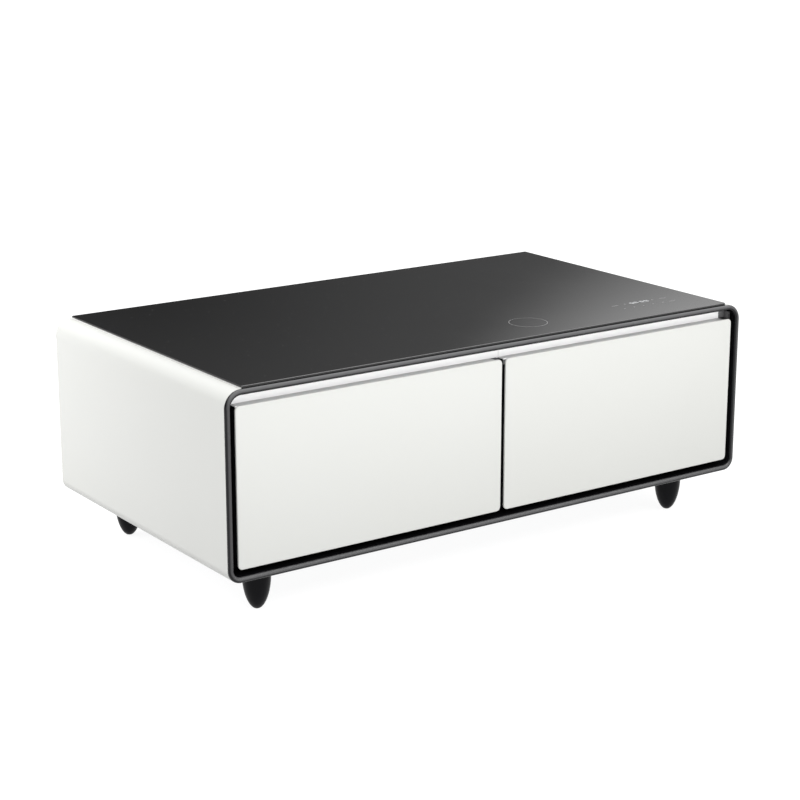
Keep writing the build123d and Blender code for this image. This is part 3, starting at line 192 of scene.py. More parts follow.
class Finish:
    """A node material with a Principled shader and helpers that add patterns to it."""

    def __init__(self, name, colour, rough, metal=0.0, **values):
        self.material = bpy.data.materials.new(name)
        self.material.use_nodes = True
        self.nodes = self.material.node_tree.nodes
        self.links = self.material.node_tree.links
        self.shader = self.nodes["Principled BSDF"]
        self.colour = tuple(colour) + (1.0,)
        self.shader.inputs["Base Color"].default_value = self.colour
        self.shader.inputs["Roughness"].default_value = rough
        self.shader.inputs["Metallic"].default_value = metal
        for key, value in values.items():
            self.shader.inputs[key.replace("_", " ")].default_value = value
        coordinates = self.nodes.new("ShaderNodeTexCoord")
        self.place = coordinates.outputs["Object"]
        self.normal = coordinates.outputs["Normal"]
        self.height = None

    def mapped(self, scale):
        """Object coordinates, multiplied by one scale for each axis."""
        node = self.nodes.new("ShaderNodeMapping")
        node.inputs["Scale"].default_value = scale
        self.links.new(self.place, node.inputs["Vector"])
        return node.outputs["Vector"]

    def noise(self, scale, detail, vector=None):
        """Soft random pattern between 0 and 1."""
        node = self.nodes.new("ShaderNodeTexNoise")
        node.inputs["Scale"].default_value = scale
        node.inputs["Detail"].default_value = detail
        self.links.new(vector or self.place, node.inputs["Vector"])
        return node.outputs["Fac"]

    def cells(self, scale, feature="F1", output="Distance", flat=False):
        """Cell pattern, in space or in X and Y: a distance inside each cell, or one value for it."""
        node = self.nodes.new("ShaderNodeTexVoronoi")
        node.voronoi_dimensions = "2D" if flat else "3D"
        node.feature = feature
        node.inputs["Scale"].default_value = scale
        self.links.new(self.place, node.inputs["Vector"])
        return node.outputs[output]

    def span(self, value, low, high, to_low, to_high):
        """Maps one range onto another and holds it at both ends."""
        node = self.nodes.new("ShaderNodeMapRange")
        for key, number in zip(range_sockets, (low, high, to_low, to_high)):
            node.inputs[key].default_value = number
        self.links.new(value, node.inputs["Value"])
        return node.outputs["Result"]

    def facing(self, direction, low, high):
        """How far the surface looks one way: normal dot direction, 0 up to low and 1 from high on."""
        node = self.nodes.new("ShaderNodeVectorMath")
        node.operation = "DOT_PRODUCT"
        node.inputs[1].default_value = Vector(direction).normalized()
        self.links.new(self.normal, node.inputs[0])
        return self.span(node.outputs["Value"], low, high, 0.0, 1.0)

    def along(self, axis, start, end):
        """Share of the way along X, Y or Z from one place to another."""
        node = self.nodes.new("ShaderNodeSeparateXYZ")
        self.links.new(self.place, node.inputs["Vector"])
        return self.span(node.outputs[axis], start, end, 0.0, 1.0)

    def product(self, one, other):
        """Product of two patterns: high only where both are."""
        node = self.nodes.new("ShaderNodeMath")
        node.operation = "MULTIPLY"
        self.links.new(one, node.inputs[0])
        self.links.new(other, node.inputs[1])
        return node.outputs["Value"]

    def tint(self, value, other):
        """Blends the base colour towards another colour where the value is 1."""
        node = self.nodes.new("ShaderNodeMix")
        node.data_type = "RGBA"
        sockets = [s for s in node.inputs if s.type == "RGBA"]
        linked = self.shader.inputs["Base Color"].links
        if linked:
            self.links.new(linked[0].from_socket, sockets[0])
        else:
            sockets[0].default_value = self.colour
        sockets[1].default_value = tuple(other) + (1.0,)
        self.links.new(value, node.inputs["Factor"])
        output = [s for s in node.outputs if s.type == "RGBA"][0]
        self.links.new(output, self.shader.inputs["Base Color"])
        return self

    def patches(self, scale, detail, reach, amount, other):
        """Patches of another colour: its share grows from 0 to amount as a noise runs over reach."""
        return self.tint(self.span(self.noise(scale, detail), *reach, 0.0, amount), other)

    def shine(self, value, low, high):
        """Lets the roughness run from low to high with a value between 0 and 1."""
        self.links.new(self.span(value, *noise_reach, low, high), self.shader.inputs["Roughness"])
        return self

    def bump(self, value, depth, strength):
        """Adds a pattern as bumps of that depth in metres, over any bumps that are there already."""
        node = self.nodes.new("ShaderNodeBump")
        node.inputs["Distance"].default_value = depth
        node.inputs["Strength"].default_value = strength
        self.links.new(value, node.inputs["Height"])
        if self.height:
            self.links.new(self.height, node.inputs["Normal"])
        self.height = node.outputs["Normal"]
        self.links.new(self.height, self.shader.inputs["Normal"])
        return self

    def grain(self, scale, detail, depth, strength):
        """Bumps made by a noise of one scale."""
        return self.bump(self.noise(scale, detail), depth, strength)


def dress(piece, finish):
    """Gives an object or a CAD node one finish."""
    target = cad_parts[piece] if isinstance(piece, str) else piece
    target.data.materials.clear()
    target.data.materials.append(finish.material)


def place(piece, body, slot, finish, *nodes):
    """Dresses a new piece, lets it ride on its body and hides the CAD nodes that it stands for."""
    dress(piece, finish)
    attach(piece, body)
    if nodes:
        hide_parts(*nodes)
    return piece


# %% [markdown]
# White powder coat is smooth but never a mirror: the paint flows into a faint orange peel of
# ripples one or two millimetres across. A fine noise as bump gives that, a wide slow noise moves
# the roughness a little so that a highlight breaks up over a large panel, and a thin clear layer
# keeps the highlight clean.

# %% Painted finishes
shell_colour = np.array((0.458, 0.462, 0.446))
front_colour = np.array((0.51, 0.515, 0.497))
warm_share = np.array((0.985, 0.982, 0.965))
smoother, rougher = 0.04, 0.05
underside_shade_reach = (0.05, 0.85)
# Share of the colour kept on faces that look down: painted shade.
painted_underside_shade = 0.62


def orange_peel(name, colour, rough):
    """White paint with fine ripples, slow changes of gloss and a trace of warmth."""
    paint = Finish(name, colour, rough, Coat_Weight=0.25, Coat_Roughness=0.12)
    paint.grain(420, 2.0, 0.02 * millimetre, 0.35)
    paint.shine(paint.noise(3.0, 3.0), rough - smoother, rough + rougher)
    return paint.patches(1.3, 2.0, (0.45, 0.75), 0.5, colour * warm_share)


def shell_paint():
    """Powder coat of the wrapped sides and the back; painted shade makes what looks down greyer."""
    paint = orange_peel("shell_paint", shell_colour, 0.42)
    # Painted shade: darker where the surface faces down.
    return paint.tint(paint.facing(downward, *underside_shade_reach), shell_colour * painted_underside_shade)


def front_paint():
    """Smoother paint of the two drawer fronts."""
    return orange_peel("front_paint", front_colour, 0.34)


def black_enamel():
    """Stoved enamel of the compressor's shell, with a little dust on it."""
    enamel = Finish("black_enamel", (0.012, 0.012, 0.013), 0.32, Coat_Weight=0.3, Coat_Roughness=0.1)
    enamel.grain(260, 3.0, 0.04 * millimetre, 0.4)
    return enamel.patches(9, 4.0, (0.5, 0.8), 0.4, (0.05, 0.048, 0.045))


shell_white, front_white = shell_paint(), front_paint()
dress("back_panel", shell_white)
dress("compressor", black_enamel())
print("painted finishes:", shell_white.material.name, front_white.material.name)

# %% [markdown]
# The sides are one sheet each. Seen from the front the sheet comes out from under the glass, steps
# up to the outside, turns down over a generous arc, and turns in again under the table. The section
# is drawn as the sheet's middle line and thickened along its normals, then carried from front to
# back. The arcs are where the light is brightest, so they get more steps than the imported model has.

# %% Side shells
sheet = 1.2 * millimetre
top_corner = 35 * millimetre
bottom_corner = 27 * millimetre
glass_gap = 1.0 * millimetre
lip_reach = 14 * millimetre
hem = 13 * millimetre
top_steps = 20
bottom_steps = 16
shell_low, shell_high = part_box("right_side_shell")
glass_low, glass_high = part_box("glass_top")
tape_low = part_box("glass_tape")[0]


def thickened(line, thickness):
    """Closed outline of a bent sheet: each point of its line moves half the thickness to both sides."""
    run = np.diff(line, axis=0)
    run /= np.linalg.norm(run, axis=1)[:, None]
    normal = np.stack([-run[:, 1], run[:, 0]], axis=-1)
    before = np.vstack([normal[:1], normal])
    after = np.vstack([normal, normal[-1:]])
    miter = before + after
    miter /= (1 + np.sum(before * after, axis=1))[:, None]
    return np.vstack([line + miter * thickness / 2, (line - miter * thickness / 2)[::-1]])


def shell_line():
    """Middle line of the right-hand sheet: lip, step, top arc, side, bottom arc and underside."""
    half = sheet / 2
    step_x = glass_high.x + glass_gap + half
    lip_z = tape_low.z - half
    side_x = shell_high.x - half
    top_z = shell_high.z - half
    low_z = shell_low.z + half
    top_radius = top_corner - half
    low_radius = bottom_corner - half
    start = np.array([[step_x - half - lip_reach, lip_z], [step_x, lip_z], [step_x, top_z]])
    upper = arc((side_x - top_radius, top_z - top_radius), top_radius, 90, 0, top_steps)
    lower = arc((side_x - low_radius, low_z + low_radius), low_radius, 0, -90, bottom_steps)
    return np.vstack([start, upper, lower, [[shell_low.x, low_z]]])


def side_shell(side):
    """The sheet's outline at the front and at the back, and the hem that is folded in at the back."""
    section = thickened(shell_line(), sheet)
    section[:, 0] *= side
    y0, y1 = shell_low.y, shell_high.y
    soft = sheet / 4
    rings = [lift(section, 1, y) for y in (y0, y0 + soft, y1 - soft, y1)]
    wrap = stack("wrap", rings)
    inset = sheet
    x_out = shell_high.x - inset
    z0, z1 = shell_low.z + inset, shell_high.z - inset
    corner_low, corner_top = bottom_corner - inset, top_corner - inset
    outer_top = arc((x_out - corner_top, z1 - corner_top), corner_top, 90, 0)
    outer_low = arc((x_out - corner_low, z0 + corner_low), corner_low, 0, -90)
    inner_low = arc((x_out - corner_low, z0 + corner_low), corner_low - hem + inset, -90, 0)
    inner_top = arc((x_out - corner_top, z1 - corner_top), corner_top - hem + inset, 0, 90)
    flange = np.vstack([outer_top, outer_low, inner_low, inner_top])
    flange[:, 0] *= side
    back_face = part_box("back_panel")[0].y
    return wrap, stack("flange", [lift(flange, 1, back_face - sheet), lift(flange, 1, back_face)])


for name, side in (("left", -1), ("right", 1)):
    shell = joined(name + "_shell_skin", side_shell(side))
    place(shell, "cabinet", "shell_white", shell_white, name + "_side_shell")
    print(shell.name, len(shell.data.polygons), "faces")

# %% [markdown]
# The bezel is a half-round moulding. Its section is a block with two large radii, and it is carried
# round the front as rings that shrink inwards: ring by ring the section's distance from the outline
# becomes the ring's inset, and its height becomes the ring's place in depth. The moulding is black,
# and a painted highlight, a paler tint where its surface faces up and forward, draws one long thin
# line along its crown.

# %% Front bezel
moulding_low, moulding_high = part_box("front_moulding")
moulding_width = 11 * millimetre
crown_share = 0.47
crown_steps = 10
corner_steps = 24
# The crown's grey is a painted highlight where the surface faces up and forward.
crown_highlight_side = (0.0, -0.75, 0.66)
crown_highlight_reach = (0.58, 0.88)
painted_crown_highlight = (0.088, 0.088, 0.09)


def gloss_black():
    """Moulded black plastic of the bezel with a fine grain, and a painted highlight along its crown."""
    plastic = Finish("gloss_black", (0.005, 0.005, 0.006), 0.24, Specular_IOR_Level=0.2)
    plastic.grain(700, 2.0, 0.01 * millimetre, 0.3)
    plastic.shine(plastic.noise(14, 3.0), 0.2, 0.3)
    # Painted highlight along the crown.
    return plastic.tint(plastic.facing(crown_highlight_side, *crown_highlight_reach), painted_crown_highlight)


def front_moulding():
    """Half-round section as (inset, depth) pairs, each pair a rounded ring round the front."""
    radius = moulding_width * crown_share
    y0, y1 = moulding_low.y, moulding_high.y
    left = arc((radius, y0 + radius), radius, 180, 270, crown_steps)
    right = arc((moulding_width - radius, y0 + radius), radius, 270, 360, crown_steps)
    section = np.vstack([[[0, y1]], left, right, [[moulding_width, y1]]])
    inset = shell_high.z - moulding_high.z
    rings = []
    for u, y in section:
        ring = rounded_ring(
            moulding_low.x + u, moulding_high.x - u, moulding_low.z + u, moulding_high.z - u,
            bottom_corner - inset - u, top_corner - inset - u, corner_steps)
        rings.append(lift(ring, 1, y))
    return stack("front_bezel", rings, closed=True)


bezel = place(front_moulding(), "cabinet", "trim_black", gloss_black(), "front_moulding")
print("bezel:", len(bezel.data.polygons), "faces")

# %% [markdown]
# The pane is a rounded rectangle with a ground arris along its upper edge. Black glass is clear
# glass painted on its back, so it is one smooth dielectric: what you see is the room, stronger where
# you look along it. The arris is ground, not polished, and scatters light, which draws the pale line
# along the front. Two materials do that on one mesh. The second goes on the arris and on the two
# ends, and those faces are picked by the way they face.

# %% Glass top
glass_bevel = 0.9 * millimetre
glass_corner = 3 * millimetre
# Top and fade of the pale band along the lower part of the pane's two ends.
pale_band_top = glass_high.z - 2.7 * millimetre
pale_band_fade = 0.4 * millimetre
end_pale = (0.6, 0.6, 0.59)
end_black = (0.01, 0.01, 0.01)
end_reach = (0.3, 0.6)
fleck_density = 26.0
fleck_sizes = (0.015, 0.04)
fleck_choice = (0.45, 0.8)
fleck_grey = (0.1, 0.1, 0.098)
face_reach = (0.8, 0.9)
arris_slopes = (0.3, 0.95)
end_slope = 0.5
pane_crisp = np.radians(20)


def black_glass():
    """Clear glass with black paint behind it and a few flecks: a fleck is the middle of a chosen cell."""
    glass = Finish("black_glass", (0.005, 0.005, 0.0052), 0.065, IOR=1.5)
    glass.shine(glass.noise(5, 4.0), 0.055, 0.075)
    middle = glass.span(glass.cells(fleck_density, flat=True), *fleck_sizes, 1.0, 0.0)
    chance = glass.cells(fleck_density, output="Color", flat=True)
    flecks = glass.product(middle, glass.span(chance, *fleck_choice, 0.0, 1.0))
    return glass.tint(glass.product(flecks, glass.facing(upward, *face_reach)), fleck_grey)


def ground_edge():
    """Edge ground with a wheel and left dull; the two ends are near black, and pale on their lower part.
    """
    edge = Finish("ground_edge", (0.09, 0.09, 0.09), 0.45)
    edge.grain(2500, 2.0, 0.02 * millimetre, 0.6)
    for side in (-1, 1):
        end = edge.facing((side, 0, 0), *end_reach)
        edge.tint(end, end_black)
        edge.tint(edge.product(end, edge.along("Z", pale_band_top, pale_band_top - pale_band_fade)), end_pale)
    return edge


def glass_pane():
    """Rings of the pane from the bottom up: a small lower arris, the edge, and the ground arris."""
    small = glass_bevel / 3
    levels = [
        (small, glass_low.z),
        (0, glass_low.z + small),
        (0, glass_high.z - glass_bevel),
        (glass_bevel, glass_high.z),
    ]
    rings = []
    for inset, z in levels:
        ring = rounded_ring(
            glass_low.x + inset, glass_high.x - inset, glass_low.y + inset, glass_high.y - inset,
            glass_corner - inset / 2)
        rings.append(lift(ring, 2, z))
    return stack("glass_pane", rings, crisp=pane_crisp)


pane = place(glass_pane(), "cabinet", "glass_black", black_glass(), "glass_top")
pane.data.materials.append(ground_edge().material)
normals = np.zeros(len(pane.data.polygons) * 3)
pane.data.polygons.foreach_get("normal", normals)
across, _, up = normals.reshape(-1, 3).T
on_arris = (up > arris_slopes[0]) & (up < arris_slopes[1])
ground = on_arris | (np.abs(across) > end_slope)
pane.data.polygons.foreach_set("material_index", ground.astype(np.int32))
print("pane:", len(ground), "faces,", int(ground.sum()), "of them ground")

# %% [markdown]
# Printed marks sit on the glass: a thin ring over the charging coil, and a row of touch controls
# with four digits. They are flat meshes a few hundredths of a millimetre above the pane. The digits
# are drawn as seven bars each, as on any small display with all its bars lit.

# %% Printed marks
print_lift = 0.04 * millimetre
print_level = glass_high.z + print_lift
coil_low, coil_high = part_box("charging_coil")
touch_low, touch_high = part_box("touch_board")
ring_shift = np.array([-4.5, -6.0]) * millimetre
ring_radius = 40.5 * millimetre
ring_line = 1.0 * millimetre
digit_height = 9.5 * millimetre
digit_width = 8.5 * millimetre
bar = 2.0 * millimetre


def pale_print():
    """Fired ink of the ring and the small signs, a little worn."""
    ink = Finish("pale_print", (0.18, 0.18, 0.18), 0.45)
    return ink.patches(900, 2.0, (0.3, 0.7), 0.35, (0.13, 0.13, 0.13))


def digit_glow_paint():
    """Painted glow: pale digits as they look when lit from below, with no light given off."""
    light = Finish("digit_glow_paint", (0.45, 0.46, 0.47), 0.4)
    return light.patches(1200, 2.0, (0.3, 0.7), 0.3, (0.4, 0.41, 0.43))


def flat_ring(centre, radius, line, steps=96):
    """Flat ring: an inner and an outer circle joined by quads."""
    turn = np.linspace(0, 2 * np.pi, steps, endpoint=False)
    circle = np.stack([np.cos(turn), np.sin(turn)], axis=-1)
    radii = np.array([radius - line / 2, radius + line / 2])
    points = (circle[None, :, :] * radii[:, None, None]).reshape(-1, 2) + centre
    j = np.arange(steps)
    quads = np.stack([j, (j + 1) % steps, steps + (j + 1) % steps, steps + j], axis=-1)
    return lift(points, 2, print_level), quads


def flat_bars(centres, sizes):
    """Flat rectangles, one for each centre and size."""
    centres, sizes = np.atleast_2d(centres), np.atleast_2d(sizes)
    corner = np.array([[-0.5, -0.5], [0.5, -0.5], [0.5, 0.5], [-0.5, 0.5]])
    points = (centres[:, None, :] + corner[None] * sizes[:, None, :]).reshape(-1, 2)
    quads = np.arange(len(points)).reshape(-1, 4)
    return lift(points, 2, print_level), quads


def digit(centre):
    """The seven bars of an eight: top, middle and bottom, then the four uprights."""
    x, y = digit_width / 2, digit_height / 2
    places = np.array([(0, y), (0, 0), (0, -y), (-x, y / 2), (x, y / 2), (-x, -y / 2), (x, -y / 2)])
    flat, upright = (digit_width - bar, bar), (bar, y - bar)
    return flat_bars(places + centre, np.array([flat] * 3 + [upright] * 4))


def printed(name, parts, finish):
    """One flat mesh from several sets of points and quads, facing up."""
    start, points, quads = 0, [], []
    for part_points, part_quads in parts:
        points.append(part_points)
        quads.append(part_quads + start)
        start += len(part_points)
    mesh = bpy.data.meshes.new(name)
    mesh.from_pydata(np.vstack(points).tolist(), [], np.vstack(quads).tolist())
    piece = bpy.data.objects.new(name, mesh)
    bpy.context.scene.collection.objects.link(piece)
    return place(piece, "cabinet", "glass_black", finish)


def box_middle(low, high):
    """Middle of a box in X and Y."""
    return np.array([(low.x + high.x) / 2, (low.y + high.y) / 2])


touch_middle = box_middle(touch_low, touch_high)
back_row = -5.5 * millimetre
front_row = -37.6 * millimetre
digit_offsets = np.array([-23.1, -11.3, 5.7, 18.6]) * millimetre
# The digits' pale colour is the painted glow of a lit display.
printed("lit_digits", [digit(touch_middle + (x, back_row)) for x in digit_offsets], digit_glow_paint())

ink = pale_print()
ring_middle = box_middle(coil_low, coil_high) + ring_shift
printed("charging_ring", [flat_ring(ring_middle, ring_radius, ring_line)], ink)

ring_places = np.array([(-41.7 * millimetre, back_row), (37.1 * millimetre, back_row)])
small_radius = 2.0 * millimetre
small_line = 1.0 * millimetre
small_steps = 32
marks = [flat_ring(touch_middle + ring, small_radius, small_line, small_steps) for ring in ring_places]

dot_offsets = np.array([-70.8, -43.4, -16.4, 11.0, 39.0]) * millimetre
dot_size = (4.0 * millimetre, 2.8 * millimetre)
marks += [flat_bars(touch_middle + (x, front_row), dot_size) for x in dot_offsets]

dash_places = np.array([
    (-70.6 * millimetre, back_row),
    (66.5 * millimetre, back_row),
    (66.1 * millimetre, front_row),
])
dash_size = (18 * millimetre, bar)
marks += [flat_bars(touch_middle + dash_places, dash_size)]
printed("touch_marks", marks, ink)
print("print height above the glass in mm:", round(print_lift / millimetre, 3))

# %% [markdown]
# The drawer fronts are painted sheets with soft edges. The ring stack starts at the back edge,
# runs forward, and rolls over a small radius onto the face, so the edge catches a thin line of
# light all the way round.

# %% Drawer fronts
panel_corner = 9 * millimetre
panel_roll = 1.3 * millimetre
roll_steps = 6
panel_steps = 10
panel_crisp = np.radians(50)


def front_panel(name):
    """Rings from the back of the sheet to the front, the last ones on a quarter circle."""
    low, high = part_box(name)
    roll = arc((panel_roll, low.y + panel_roll), panel_roll, 180, 270, roll_steps)
    section = np.vstack([[[0, high.y]], roll])
    rings = []
    for inset, y in section:
        ring = rounded_ring(
            low.x + inset, high.x - inset, low.z + inset, high.z - inset, panel_corner - inset,
            steps=panel_steps)
        rings.append(lift(ring, 1, y))
    return stack(name + "_skin", rings, crisp=panel_crisp)


for name in ("left", "right"):
    face = front_panel(name + "_front_panel")
    place(face, name + "_drawer", "front_white", front_white, name + "_front_panel")
    print(face.name, len(face.data.polygons), "faces")

# %% [markdown]
# The finger pulls are aluminium extrusions, so every line on them runs lengthways. Brushing is a
# noise that is stretched a few hundredfold along X: it moves the roughness and lays fine grooves.

# %% Brushed aluminium and the finger pulls
pull_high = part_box("left_pull")[1]
front_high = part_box("left_front_panel")[1]
# Painted light on the pulls: a highlight at the channel's top, shade at its root, floor and hook.
shaded_root_grey = (0.86, 0.86, 0.86)
painted_top_highlight = (0.97, 0.97, 0.965)
streak_grey = (0.88, 0.88, 0.88)
painted_floor_shade = (0.45, 0.45, 0.45)
painted_hook_shade = (0.06, 0.06, 0.06)
hook_shade_fade = 3 * millimetre
cap_shade_depth = 4 * millimetre
painted_cap_shade = (0.012, 0.012, 0.013)
brush_scale = (9, 2600, 2600)
streak_reach = (0.4, 0.7)
streak_amount = 0.3
floor_shade_reach = (0.4, 0.8)


def brushed_aluminium():
    """Brushed and anodised; painted highlight at the channel's top, painted shade at root, floor, hook.
    """
    metal = Finish("brushed_aluminium", shaded_root_grey, 0.36, metal=0.05)
    streaks = metal.noise(1.0, 3.0, metal.mapped(brush_scale))
    metal.shine(streaks, 0.32, 0.44)
    metal.bump(streaks, 0.006 * millimetre, 0.5)
    # Painted highlight: brighter towards the top of the channel.
    metal.tint(metal.along("Z", front_high.z, pull_high.z), painted_top_highlight)
    metal.tint(metal.span(streaks, *streak_reach, 0.0, streak_amount), streak_grey)
    # Painted shade on the channel's floor.
    metal.tint(metal.facing(upward, *floor_shade_reach), painted_floor_shade)
    # Painted shade on the hook behind the panel.
    return metal.tint(metal.along("Z", front_high.z, front_high.z - hook_shade_fade), painted_hook_shade)


def cap_plastic():
    """Satin black plastic of the pulls' ends: grey deep in the channel, painted shade on rim and floor.
    """
    plastic = Finish("cap_plastic", (0.12, 0.12, 0.122), 0.5)
    plastic.shine(plastic.noise(60, 3.0), 0.42, 0.56)
    # Painted shade on the cap's front rim and on its floor.
    plastic.tint(plastic.along("Y", front_high.y + cap_shade_depth, front_high.y), painted_cap_shade)
    plastic.tint(plastic.facing(upward, *floor_shade_reach), painted_cap_shade)
    return plastic.grain(1100, 2.0, 0.03 * millimetre, 0.4)


pull_metal, cap_black = brushed_aluminium(), cap_plastic()
for name in ("left", "right"):
    dress(name + "_pull", pull_metal)
    dress(name + "_pull_cap", cap_black)
print("pulls:", pull_metal.material.name, cap_black.material.name)

# %% [markdown]
# The feet are turned shapes: a long ellipse with a small flat tip that opens into a nearly straight
# neck. A turned shape is the simplest surface of all, radius as a function of height, carried round
# the axis. The radius follows an ellipse up to its widest place and a straight flare above it.

# %% Feet
foot_radius = 29 * millimetre
foot_flare = 1 * millimetre
foot_bulge = 75 * millimetre
foot_tip = 2 * millimetre
tip_round = 1.2 * millimetre
ellipse_steps = 28
turn_steps = 72
foot_crisp = np.radians(60)


def foot_satin():
    """Satin lacquer over turned plastic."""
    lacquer = Finish("foot_satin", (0.0025, 0.0025, 0.0035), 0.3, Specular_IOR_Level=0.09)
    lacquer.grain(520, 3.0, 0.03 * millimetre, 0.35)
    return lacquer.shine(lacquer.noise(30, 3.0), 0.26, 0.36)


def foot(name):
    """Radius r(z) is the ellipse's up to its middle, then a line, turned round the foot's own axis."""
    low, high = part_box(name)
    centre = foot_bulge - foot_tip
    fall = np.linspace(np.arccos(centre / foot_bulge), np.pi / 2, ellipse_steps)
    ellipse_radius = foot_radius * np.sin(fall)
    ellipse_height = centre - foot_bulge * np.cos(fall) + np.linspace(tip_round / 3, 0, ellipse_steps)
    flare_radius = [foot_radius + foot_flare / 2, foot_radius + foot_flare]
    flare_height = [(centre + high.z) / 2, high.z]
    radius = np.concatenate([[ellipse_radius[0] - tip_round], ellipse_radius, flare_radius])
    height = np.concatenate([[0.0], ellipse_height, flare_height])
    turn = np.linspace(0, 2 * np.pi, turn_steps, endpoint=False)
    x = (low.x + high.x) / 2 + radius[:, None] * np.cos(turn)
    y = (low.y + high.y) / 2 + radius[:, None] * np.sin(turn)
    z = np.broadcast_to(height[:, None], x.shape)
    return stack(name + "_skin", np.stack([x, y, z], axis=-1), crisp=foot_crisp)


foot_black = foot_satin()
for name in ("front_left_foot", "front_right_foot", "back_left_foot", "back_right_foot"):
    turned = place(foot(name), "cabinet", "foot_black", foot_black, name)
print("foot:", len(turned.data.polygons), "faces")

# %% [markdown]
# The drawer seals are soft extrusions with a row of folds, so that they give when the door closes.
# The section's outside is a rounded block whose side walls wave in and out. It is carried round the
# opening like the bezel.

# %% Door seals
gasket_width = 11 * millimetre
mouth_corner = 14 * millimetre
gasket_offset = 3 * millimetre
fold_depth = 0.7 * millimetre
fold_count = 3
wall_points = 17
wall_share = 0.8
lip_steps = 10
seal_steps = 8
seal_crisp = np.radians(60)


def seal_rubber():
    """Soft dark rubber, slightly uneven."""
    rubber = Finish("seal_rubber", (0.07, 0.071, 0.073), 0.6)
    rubber.grain(1500, 2.0, 0.02 * millimetre, 0.4)
    return rubber.patches(20, 3.0, (0.4, 0.8), 0.5, (0.05, 0.05, 0.052))


def door_seal(name):
    """Closed section as (inset, depth) pairs: a rounded lip at the back and a wavy wall on both sides."""
    low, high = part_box(name)
    depth = high.y - low.y
    wave = np.linspace(0, 1, wall_points)
    fold = fold_depth * np.sin(wave * fold_count * np.pi) ** 2
    lip = gasket_width / 2
    y_wall = low.y + wave * depth * wall_share
    crown = arc((0, 0), 1.0, 180, 0, lip_steps)
    crown_y = low.y + depth * (wall_share + (1 - wall_share) * crown[:, 1])
    crown_points = np.stack([lip + crown[:, 0] * lip, crown_y], axis=-1)
    outer = np.stack([fold, y_wall], axis=-1)
    inner = np.stack([gasket_width - fold[::-1], y_wall[::-1]], axis=-1)
    section = np.vstack([outer, crown_points[1:-1], inner])
    radius = mouth_corner + gasket_offset + gasket_width
    rings = []
    for inset, y in section:
        ring = rounded_ring(
            low.x + inset, high.x - inset, low.z + inset, high.z - inset, radius - inset,
            steps=seal_steps)
        rings.append(lift(ring, 1, y))
    return stack(name + "_folds", rings, closed=True, crisp=seal_crisp)


seal_grey = seal_rubber()
for name in ("left", "right"):
    gasket = name + "_door_gasket"
    seal = place(door_seal(gasket), name + "_drawer", "seal_grey", seal_grey, gasket)
print("seal:", len(seal.data.polygons), "faces")

# %% [markdown]
# Moulded plastics differ in their skin more than in their colour. Refrigerator liners are drawn
# from white sheet and keep a slight pebble, the surround is a smooth satin black, the grille has the
# spark-eroded texture that hides scratches, and the bins are polished.

# %% Moulded plastics
def liner_plastic():
    """White sheet that was drawn into the liners, with a slight pebble."""
    plastic = Finish("liner_plastic", (0.76, 0.77, 0.76), 0.38)
    plastic.grain(300, 3.0, 0.06 * millimetre, 0.4)
    return plastic.shine(plastic.noise(8, 2.0), 0.34, 0.44)


def surround_plastic():
    """Satin black of the recessed surround and the doors."""
    plastic = Finish("surround_plastic", (0.004, 0.004, 0.005), 0.42, Specular_IOR_Level=0.35)
    plastic.grain(900, 2.0, 0.02 * millimetre, 0.4)
    return plastic.shine(plastic.noise(11, 2.0), 0.38, 0.5)


def grille_plastic():
    """Spark-eroded black with a coarse grain."""
    plastic = Finish("grille_plastic", (0.018, 0.018, 0.019), 0.55)
    plastic.grain(1800, 3.0, 0.06 * millimetre, 0.6)
    return plastic.shine(plastic.noise(25, 2.0), 0.5, 0.62)


def bin_plastic():
    """Polished cool white of the bins and their dividers."""
    plastic = Finish("bin_plastic", (0.72, 0.75, 0.77), 0.22, Coat_Weight=0.3, Coat_Roughness=0.08)
    plastic.grain(160, 2.0, 0.03 * millimetre, 0.3)
    return plastic.shine(plastic.noise(12, 3.0), 0.18, 0.28)


def box_plastic():
    """Grey flame-proof plastic of the control box."""
    plastic = Finish("box_plastic", (0.16, 0.165, 0.17), 0.5)
    plastic.grain(1300, 3.0, 0.05 * millimetre, 0.5)
    return plastic.patches(15, 4.0, (0.5, 0.8), 0.4, (0.2, 0.2, 0.2))


def fan_plastic():
    """Black fan plastic with dust in patches."""
    plastic = Finish("fan_plastic", (0.02, 0.02, 0.021), 0.4)
    plastic.grain(1100, 2.0, 0.03 * millimetre, 0.4)
    return plastic.patches(40, 4.0, (0.45, 0.8), 0.35, (0.06, 0.058, 0.055))


def lamp_plastic():
    """Ribbed light bar that glows a little."""
    plastic = Finish("lamp_plastic", (0.9, 0.91, 0.93), 0.35, Emission_Strength=0.6)
    plastic.shader.inputs["Emission Color"].default_value = (0.95, 0.97, 1.0, 1.0)
    ribs = plastic.noise(1.0, 1.0, plastic.mapped((900, 40, 40)))
    return plastic.bump(ribs, 0.2 * millimetre, 0.4)


def dress_all(finishes):
    """Makes each finish once and puts it on its nodes."""
    for make_finish, nodes in finishes.items():
        finish = make_finish()
        for node in nodes:
            dress(node, finish)
        print(finish.material.name, "on", len(nodes), "nodes")


dress_all({
    liner_plastic: ("left_liner", "right_liner"),
    bin_plastic: ("left_bin", "right_bin", "left_bin_divider", "right_bin_divider"),
    surround_plastic: ("front_well", "left_door_core", "right_door_core"),
    grille_plastic: ("rear_grille", "power_inlet", "board_standoffs"),
    lamp_plastic: ("drawer_lamps",),
    box_plastic: ("control_box",),
    fan_plastic: ("fan_housing", "fan_rotor"),
})

# %% [markdown]
# Bare metals: galvanised sheet shows flat crystals of zinc, each with its own shine, so a random
# value for each Voronoi cell moves the roughness. Zinc plating on the slides and screws is finer
# and slightly blue. Copper pipe darkens in patches.

# %% Metals, foam, rubber and boards
track_edge = (0.05, 0.07)


